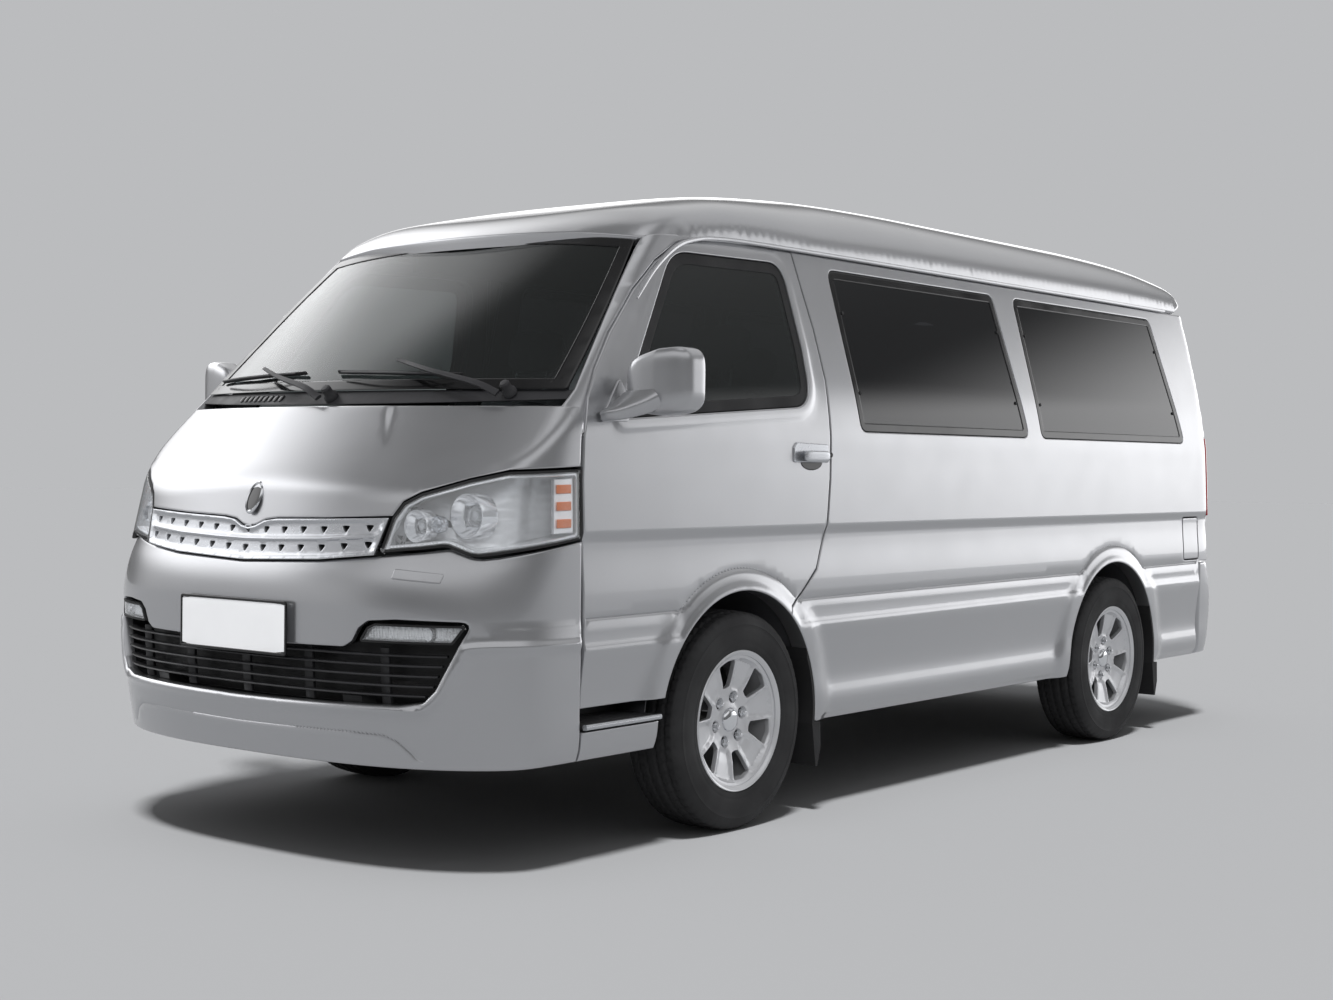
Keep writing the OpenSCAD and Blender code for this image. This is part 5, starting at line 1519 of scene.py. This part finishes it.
def buildMirrors():
    points, faces, finish = roundedBox(mirror["size"], "paint", power=4.6, steps=40)
    # Front edge drawn in and down towards the arm, the outer side left full
    points[:, 2] += 0.10 * points[:, 0]
    points[:, 1] += 0.25 * points[:, 0]
    points *= 1 - 0.22 * np.clip(-points[:, :1] / 0.09, 0, 1) * np.array([0, 0.4, 1])
    head = points + mirror["middle"], faces, finish
    glass = roundedBox(mirror["glass"], "mirrorGlass", mirror["glassMiddle"], 5, 24, turn("Z", 14))
    arm = sweep(smoothPath(mirror["arm"], 8), oval(0.078, 0.040, 20, 3.5), "paint", up=(0.55, 0.1, 1),
                scale=np.linspace(0.75, 1.6, 25))
    sail = panelForms(leftChart, upperField, rounded(mirror["sail"], 0.012), depth=0.012, level=0.0065, pitch=0.012)
    forms = [head, glass, arm] + sail
    makePiece("mirrorLeft", forms, "door_left", ["mirror_left"])
    makePiece("mirrorRight", mirroredAll(forms), "door_right", ["mirror_right"])


# Door handle: plate in side view, cup behind the grip, grip, key; the sliding door's copy lies further back
handle = {"plate": [(-0.988, 1.117), (-0.788, 1.117), (-0.792, 1.176), (-0.972, 1.180), (-0.988, 1.165)],
          "cup": (-0.885, 1.119), "cupSize": (0.062, 0.027), "grip": (0.012, 0.140, 0.036),
          "gripMiddle": (0.8405, -0.885, 1.137), "key": (0.8375, -0.802, 1.142), "slidingStep": (0.0002, 0.145, 0)}


def buildHandles():
    forms = panelForms(leftChart, upperField, rounded(handle["plate"], 0.010), depth=0.010, level=0.0045,
                       finish="silverTrim", pitch=0.012)
    t = np.linspace(0, np.pi, 14)[:, None]
    cup = handle["cup"] + handle["cupSize"] * np.hstack([np.cos(t), -np.sin(t)])
    forms += panelForms(leftChart, upperField, cup[::-1], depth=0.006, level=0.0010, finish="glossBlack", pitch=0.01,
                        roll=0.001)
    key = [(0.0, 0.004), (0.006, 0.004), (0.008, 0.002), (0.008, -0.006), (0.0, -0.006)]
    forms += [roundedBox(handle["grip"], "silverTrim", handle["gripMiddle"], 4.5, 26),
              lathe(key, "chassis", 24, "X", handle["key"], close=False)]
    makePiece("handleLeft", forms, "door_left")
    makePiece("handleRight", mirroredAll(forms), "door_right")
    slide = [moved(form, None, handle["slidingStep"]) for form in mirroredAll(forms)]
    makePiece("slidingHandle", slide, "body")


# Side step: valance in side view; tread with its middle
step = {"valance": [(-2.002, 0.292), (-1.668, 0.292), (-1.662, 0.372), (-2.002, 0.372)],
        "tread": (0.200, 0.335, 0.014), "middle": (0.735, -1.834, 0.386), "grooves": 8}


def buildSteps():
    forms = panelForms(leftChart, lowerField, step["valance"], depth=0.03, pitch=0.015)
    middle = step["middle"][1]
    edge = [(0.833, y, 0.386) for y in np.linspace(-2.0, -1.668, 12)]
    forms += [roundedBox(step["tread"], "rubber", step["middle"], 12, 30),
              sweep(edge, oval(0.016, 0.016, 12, 3), "silverTrim"),
              roundedBox((0.03, 0.33, 0.12), "blackPlastic", (0.665, middle, 0.43), 12, 20)]
    forms += [roundedBox((0.006, 0.32, 0.004), "blackPlastic", (x, middle, 0.3925), 8, 6)
              for x in np.linspace(0.66, 0.80, step["grooves"])]
    makePiece("sideSteps", forms + mirroredAll(forms), "body", ["side_steps"])


buildGrille()
buildBadge()
buildHeadlamps()
buildFogLamps()
buildMouth()
buildPlate()
buildCowl()
buildWipers()
print("face finished")
buildMirrors()
buildHandles()
buildSteps()
print("sides finished")

# Wheels: built at the origin with +x outwards, then set in place
wheel = {"outer": 0.3325, "halfWidth": 0.0965, "grooves": (-0.052, -0.018, 0.018, 0.052), "grooveDepth": 0.007,
         "blocks": 60, "sipe": 0.004, "rimEdge": 0.2125, "spokes": 6, "lugRadius": 0.070,
         "places": {"fl": (0.735, -1.265), "fr": (-0.735, -1.265), "rl": (0.735, 1.325), "rr": (-0.735, 1.325)},
         "turned": {"fl": 13, "fr": 40, "rl": 21, "rr": 5}}


def tyreForm():
    # Section (place across, radius), bead to bead, then the inside back again
    half = wheel["halfWidth"]
    wall = np.array([(0.080, 0.2095), (0.087, 0.213), (0.0905, 0.219), (0.0915, 0.226), (0.0935, 0.232),
                     (0.0930, 0.2345),
                     (0.0945, 0.2385), (0.0955, 0.252), (half, 0.266), (half, 0.280), (0.0955, 0.290), (0.0965, 0.2925),
                     (0.0950, 0.2955), (0.0935, 0.304), (0.0905, 0.313), (0.0865, 0.3195), (0.0835, 0.3235),
                     (0.0800, 0.3262)])
    across = np.linspace(0.0775, -0.0775, 37)
    crown = wheel["outer"] - 0.0045 * (np.abs(across) / 0.0775) ** 2.6
    section = np.concatenate([wall, np.stack([across, crown], 1), wall[::-1] * [-1, 1]])
    inside = np.array([(-0.074, 0.2095), (-0.082, 0.25), (-0.078, 0.295), (0.0, 0.312), (0.078, 0.295), (0.082, 0.25),
                       (0.074, 0.2095)])
    section = np.concatenate([section, inside])
    steps = wheel["blocks"] * 5
    angle = np.linspace(0, 2 * np.pi, steps, endpoint=False)
    x = np.repeat(section[:, :1], steps, 1)
    radius = np.repeat(section[:, 1:], steps, 1)
    tread = (radius > 0.3215) * (np.arange(len(section)) < len(section) - 7)[:, None]
    # Grooves round the tyre that wander a little, and slanted cuts across the blocks
    wave = 0.0022 * np.sin(angle * wheel["blocks"])[None]
    rings = sum(softStep((0.0046 - np.abs(x - g - wave)) / 0.002) for g in wheel["grooves"])
    phase = (angle[None] * wheel["blocks"] / (2 * np.pi) + np.abs(x) * 9.0 + 0.5 * (x > 0)) % 1.0
    cut = softStep((0.085 - np.abs(phase - 0.5)) / 0.05) * (np.abs(x) > 0.022)
    rib = softStep((0.05 - np.abs(phase - 0.5)) / 0.04) * (np.abs(x) <= 0.022)
    radius = radius - tread * np.maximum(rings * wheel["grooveDepth"], np.maximum(cut, 0.5 * rib) * wheel["sipe"])
    # Fine ribs on the shoulder of the sidewall
    shoulder = (section[:, 1:] > 0.302) & (section[:, 1:] < 0.321) & (np.arange(len(section)) < len(section) - 7)[:,
                                                                                                                  None]
    x = x * (1 - 0.006 * shoulder * (np.sin(angle * wheel["blocks"] * 2)[None] > 0))
    points = np.stack([x, radius * np.cos(angle), radius * np.sin(angle)], -1)
    points, faces, finish = gridForm(points, "tyre", closeRows=True, closeCols=True)
    return points, faces[:, ::-1], finish


def rimForms():
    spokes = wheel["spokes"]
    pitchAngle = 2 * np.pi / spokes

    def level(y, z):
        # Height of the face: a dished hub, spokes that climb to the rim with raised sides and a sunken middle
        r = np.hypot(y, z)
        angle = (np.arctan2(z, y) + pitchAngle / 2) % pitchAngle - pitchAngle / 2
        climb = np.interp(r, [0.0, 0.040, 0.058, 0.085, 0.13, 0.19, 0.2],
                          [0.050, 0.050, 0.046, 0.050, 0.062, 0.072, 0.074])
        edge = 0.285 * r + 0.004 - np.abs(r * angle)
        sunken = softStep((edge - 0.0095) / 0.003) * softStep((r - 0.094) / 0.006) * softStep((0.184 - r) / 0.005)
        pocket = 0.010 * softStep((0.0165 - np.hypot(r * np.cos(angle) - wheel["lugRadius"], r * angle)) / 0.003)
        ring = 0.006 * softStep((r - 0.186) / 0.004)
        return climb - 0.0055 * sunken - pocket + ring

    def field(p):
        return p[:, 0] - level(p[:, 1], p[:, 2])

    outline = arc((0, 0), 0.2005, 0, 360, 145)[:-1]
    windows, lines = [], []
    for k in range(spokes):
        middle = (k + 0.5) * 60
        inner = [(0.104, -9.0), (0.100, 0), (0.104, 9.0)]
        outer = [(0.150, 12.0), (0.183, 13.2), (0.1865, 0), (0.183, -13.2), (0.150, -12.0)]
        polar = np.array(inner + outer)
        angle = np.radians(polar[:, 1] + middle)
        window = np.stack([polar[:, 0] * np.cos(angle), polar[:, 0] * np.sin(angle)], 1)
        windows.append(rounded(window, [0.006, 0.02, 0.006, 0.03, 0.008, 0.05, 0.008, 0.03], 5))
        hub = np.radians(k * 60)
        spot = wheel["lugRadius"] * np.array([np.cos(hub), np.sin(hub)])
        lines += [arc(spot, r, 0, 360, 30) for r in (0.0125, 0.0165, 0.0195)]
    lines += [arc((0, 0), r, 0, 360, 150) for r in (0.040, 0.050, 0.058, 0.090, 0.094, 0.1895, 0.1935)]
    face = panelForms(leftChart, field, outline, windows, depth=0.016, finish="rim", inner="rim", pitch=0.0075,
                      roll=0.002, lines=lines)
    lip = [(0.198, 0.070), (0.2005, 0.080), (0.206, 0.0835), (0.2125, 0.0850), (0.2145, 0.0890), (0.2125, 0.0915),
           (0.208, 0.0905),
           (0.2035, 0.0865), (0.1985, 0.0835)]
    barrel = [(0.1985, 0.0835), (0.1955, 0.060), (0.1900, 0.030), (0.1860, -0.040), (0.1960, -0.070), (0.2010, -0.084),
              (0.2085, -0.0905), (0.2125, -0.0915), (0.2145, -0.0885), (0.2110, -0.085), (0.2050, -0.080),
              (0.2000, -0.066),
              (0.1900, -0.036), (0.1940, 0.030), (0.1995, 0.062), (0.2005, 0.072)]
    lip = lathe(lip[::-1], "rim", 120, axis="X")
    barrel = lathe(barrel[::-1], "rim", 96, axis="X")
    cap = [(0.0, 0.0640), (0.012, 0.0638), (0.024, 0.0625), (0.0315, 0.0595), (0.0355, 0.0550), (0.0370, 0.0480),
           (0.0370, 0.030),
           (0.0, 0.030)]
    forms = face + [lip, barrel, lathe(cap[::-1], "chrome", 56, axis="X", close=False)]
    # Painted shade: a thin gloss black disc on the floor of each hub pocket darkens the ring round the nut; and the
    # nuts: six-sided with a domed end
    for k in range(spokes):
        hub = math.radians(k * 60)
        y, z = wheel["lugRadius"] * math.cos(hub), wheel["lugRadius"] * math.sin(hub)
        nut = lathe([(0.0, 0.0), (0.0118, 0.0), (0.0118, 0.009), (0.0095, 0.0115), (0.0085, 0.0185), (0.0055, 0.0225),
                     (0.0, 0.0235)][::-1], "chrome", 6, axis="X", close=False)
        # Painted shade: gloss black disc on the pocket floor, round the nut
        pocketShade = lathe([(0.0, 0.0), (0.0155, 0.0), (0.0155, 0.0012), (0.0, 0.0012)][::-1], "glossBlack", 28, axis="X",
                     close=False)
        forms += [moved(nut, None, (0.0395, y, z)), moved(pocketShade, None, (0.0388, y, z))]
    return forms


def buildWheels():
    tyre = tyreForm()
    rim = rimForms()
    for key, (x, y) in wheel["places"].items():
        spin = turn("X", wheel["turned"][key] if x > 0 else -wheel["turned"][key])
        place = (abs(x), y, 0.333)
        tyreHere = [moved(tyre, spin, place)]
        rimHere = [moved(form, spin, place) for form in rim]
        if x < 0:
            tyreHere, rimHere = mirroredAll(tyreHere), mirroredAll(rimHere)
        makePiece("tyre_" + key + "_tread", tyreHere, "wheel_" + key, ["tyre_" + key])
        makePiece("rim_" + key + "_spokes", rimHere, "wheel_" + key, ["rim_" + key], sharp=30)


buildWheels()
print("wheels built")

seatShape = {"width": 0.44, "depth": 0.49, "thick": 0.108, "backThick": 0.088, "voxel": 0.013, "pressure": 4.0,
             "swell": 0.022, "lean": -12}


def swollen(form, voxel, pressure, reach):
    # Cloth under a little air pressure, no weight; no point moves further than the reach
    mesh = bpy.data.meshes.new("padStart")
    points, faces = welded(form[0], form[1])
    corners = [list(dict.fromkeys(face)) for face in faces.tolist()]
    mesh.from_pydata(points.tolist(), [], [face for face in corners if len(face) > 2])
    mesh.validate()
    pad = bpy.data.objects.new("padStart", mesh)
    scene.collection.objects.link(pad)
    remesh = pad.modifiers.new("even", "REMESH")
    remesh.mode, remesh.voxel_size = "VOXEL", voxel
    graph = bpy.context.evaluated_depsgraph_get()
    even = bpy.data.meshes.new_from_object(pad.evaluated_get(graph))
    pad.modifiers.clear()
    pad.data = even
    start = np.zeros(len(even.vertices) * 3)
    even.vertices.foreach_get("co", start)
    start = start.reshape(-1, 3)
    faces = np.array([tuple(p.vertices) if len(p.vertices) == 4 else tuple(p.vertices) + (p.vertices[-1],)
                      for p in even.polygons])
    cloth = pad.modifiers.new("air", "CLOTH")
    cloth.settings.use_pressure = True
    cloth.settings.uniform_pressure_force = pressure
    cloth.settings.effector_weights.gravity = 0
    cloth.settings.tension_stiffness = 12
    for number in range(1, 21):
        scene.frame_set(number)
    graph = bpy.context.evaluated_depsgraph_get()
    done = pad.evaluated_get(graph)
    end = np.zeros(len(start) * 3)
    done.data.vertices.foreach_get("co", end)
    end = end.reshape(-1, 3)
    scene.frame_set(1)
    bpy.data.objects.remove(pad)
    move = end - start
    length = np.maximum(np.linalg.norm(move, axis=1, keepdims=True), 1e-9)
    return start + move * np.minimum(1, reach / length), faces


def sewn(points, lines, depth=0.007, width=0.011):
    # Channels: points near a line are drawn towards the middle of the pad
    middle = 0.5 * (points.min(0) + points.max(0))
    inward = middle - points
    thin = int(np.argmin(np.ptp(points, axis=0)))
    pull = np.zeros(len(points))
    for axis, place in lines:
        pull = np.maximum(pull, np.exp(-((points[:, axis] - place) / width) ** 2))
    out = points.copy()
    out[:, thin] += np.sign(inward[:, thin]) * depth * pull
    return out


def padParts():
    s = seatShape
    # Size, power and steps of each pad's box; axis and place of its seams
    shapes = {"cushion": ((s["width"], s["depth"], s["thick"]), 5, 24, [(0, -0.13), (0, 0.13), (1, 0.06)]),
              "back": ((s["width"], s["backThick"], 0.52), 5, 24, [(0, -0.13), (0, 0.13), (2, 0.10)]),
              "head": ((0.235, 0.072, 0.150), 4, 18, [(0, 0.0)])}
    parts = {}
    for name, (size, power, steps, seams) in shapes.items():
        form = roundedBox(size, "seatCloth", power=power, steps=steps)
        points, faces = swollen(form, s["voxel"], s["pressure"], s["swell"] if name != "head" else 0.008)
        # Raised sides hold the sitter
        if name != "head":
            side = softStep((np.abs(points[:, 0]) - 0.15) / 0.05)
            axis, sign = (2, 1) if name == "cushion" else (1, -1)
            points[:, axis] += sign * 0.016 * side * (sign * points[:, axis] > 0)
        parts[name] = (sewn(points, seams, 0.005 if name == "head" else 0.008), faces, "seatCloth")
    return parts


def seatForms(parts, x, y, z, rest, narrow=1.0):
    # Pads and frame of one place
    lean = turn("X", seatShape["lean"])
    size = np.diag([narrow, 1, 1])
    foot = np.array([x, y, z])
    tall = np.diag([narrow, 1, rest / 0.54])
    pads = [moved(parts["cushion"], size, foot + [0, -0.01, 0.078])]
    pads.append(moved(moved(parts["back"], lean @ tall), None, foot + [0, 0.255, 0.06] + lean @ [0, 0, rest / 2]))
    pads.append(moved(moved(parts["head"], lean), None, foot + [0, 0.255, 0.06] + lean @ [0, 0.0, rest + 0.112]))
    frame = [roundedBox((0.44 * narrow, 0.47, 0.030), "trimDark", foot + [0, -0.01, 0.016], 8, 12)]
    for side in (-0.07, 0.07):
        post = lathe([(0.0, 0.0), (0.006, 0.0), (0.006, 0.10), (0.0, 0.10)], "chrome", 16, close=False)
        frame.append(moved(moved(post, lean), None, foot + [side, 0.255, 0.06] + lean @ [0, 0, rest - 0.03]))
    return pads, frame


def buildSeats():
    parts = padParts()
    rows = {"front": [(0.405, -1.225, 0.802, 0.538, 1.0), (-0.405, -1.225, 0.802, 0.538, 1.0)],
            "rear": [(0.330, -0.015, 0.782, 0.558, 1.0), (-0.330, -0.015, 0.782, 0.558, 1.0),
                     (-0.405, 0.8847, 0.782, 0.558, 0.86), (0.0, 0.8847, 0.782, 0.558, 0.86),
                     (0.405, 0.8847, 0.782, 0.558, 0.86)]}
    for name, places in rows.items():
        pads, frame = [], []
        for place in places:
            more = seatForms(parts, *place)
            pads += more[0]
            frame += more[1]
        makePiece(name + "SeatPads", pads, "body", [name + "_seats"], sharp=70)
        makePiece(name + "SeatFrames", frame, "body")


def buildDashboard():
    # Section (y, z) carried across the van, with a hood over the instruments and soft ends
    section = smoothPath([(-2.085, 1.150), (-2.00, 1.168), (-1.90, 1.166), (-1.845, 1.150), (-1.828, 1.110),
                          (-1.850, 1.050),
                          (-1.885, 1.010), (-1.960, 0.985), (-1.985, 0.930), (-2.000, 0.880), (-2.060, 0.870),
                          (-2.090, 0.960),
                          (-2.096, 1.080)], 5, closed=True)
    x = np.concatenate([np.linspace(-0.665, -0.64, 6), np.linspace(-0.60, 0.60, 61), np.linspace(0.64, 0.665, 6)])
    middle = section.mean(0)
    shrink = np.clip(1 - ((np.abs(x) - 0.63).clip(0) / 0.037) ** 2.5, 0, 1)
    shrink[[0, -1]] = 0
    points = np.zeros((len(x), len(section), 3))
    points[:, :, 0] = x[:, None]
    points[:, :, 1:] = middle + (section - middle) * shrink[:, None, None]
    hood = 0.016 * np.exp(-((x - 0.405) / 0.17) ** 4)
    top = softStep((points[:, :, 2] - 1.12) / 0.03)
    points[:, :, 2] += hood[:, None] * top
    # Vents: shallow scoops in the face
    face = softStep((points[:, :, 1] + 1.90) / 0.02)
    for centre in (-0.56, -0.09, 0.09, 0.60):
        points[:, :, 1] -= 0.012 * face * np.exp(-((points[:, :, 0] - centre) / 0.05) ** 6)
    body = gridForm(points, "trimDark", closeCols=True)
    if area(section) < 0:
        body = body[0], body[1][:, ::-1], body[2]
    makePiece("dashboardTop", [body], "body", ["dashboard"], sharp=60)


def buildHelm():
    place = np.array([0.405, -1.665, 1.130])
    lean = turn("X", -52)
    t = np.linspace(0, 2 * np.pi, 18, endpoint=False)
    grip = np.stack([0.1805 + 0.0135 * np.cos(t), 0.0135 * np.sin(t)], 1)
    forms = [lathe(grip, "blackPlastic", 72)]
    forms.append(roundedBox((0.130, 0.105, 0.036), "trimDark", (0, 0, -0.002), 3.2, 26))
    for angle in (90, 210, 330):
        way = np.array([math.cos(math.radians(angle)), math.sin(math.radians(angle)), 0])
        path = np.array([way * r + [0, 0, -0.004 - 0.006 * math.sin((r - 0.03) / 0.148 * math.pi)]
                         for r in np.linspace(0.03, 0.178, 12)])
        forms.append(sweep(path, oval(0.030, 0.011, 14, 3), "blackPlastic", up=(0, 0, 1)))
    forms.append(lathe([(0.0, -0.225), (0.0165, -0.225), (0.0165, -0.06), (0.034, -0.045), (0.040, -0.015),
                        (0.0, -0.012)],
                       "trimDark", 36, close=False))
    makePiece("steeringWheel", [moved(form, lean, place) for form in forms], "steering_wheel", ["steering_wheel"])


buildSeats()
buildDashboard()
buildHelm()
print("inside built")

# CAD nodes that stay: each takes its finish
keptNodes = {
    "chassis": ["underbody", "front_suspension"],
    "castMetal": ["engine", "knuckle_left", "knuckle_right", "rear_axle"],
    "carpet": ["floor"],
    "paint": ["side_left", "side_right", "roof", "nose_panel", "front_bumper", "rear_bumper", "door_left", "door_right",
              "sliding_door", "tailgate", "fuel_flap", "mirror_left", "mirror_right"],
    "silverTrim": ["grille"],
    "blackPlastic": ["cowl", "lower_grille", "wipers", "dashboard", "steering_wheel", "side_steps"],
    "rubber": ["mud_flaps"],
    "lens": ["headlamps", "fog_lamps"],
    "lampRed": ["tail_lamps"],
    "clearGlass": ["windshield"],
    "doorGlass": ["door_glass_left", "door_glass_right"],
    "tintedGlass": ["side_glass_left", "side_glass_right", "sliding_glass", "tailgate_glass"],
    "seatCloth": ["front_seats", "rear_seats"],
    "tyre": ["tyre_fl", "tyre_fr", "tyre_rl", "tyre_rr"],
    "rim": ["rim_fl", "rim_fr", "rim_rl", "rim_rr"],
}
for finishName, members in keptNodes.items():
    for member in members:
        slots = nodes[member].data.materials
        slots.clear()
        slots.append(materials[finishName])
print("CAD nodes finished")
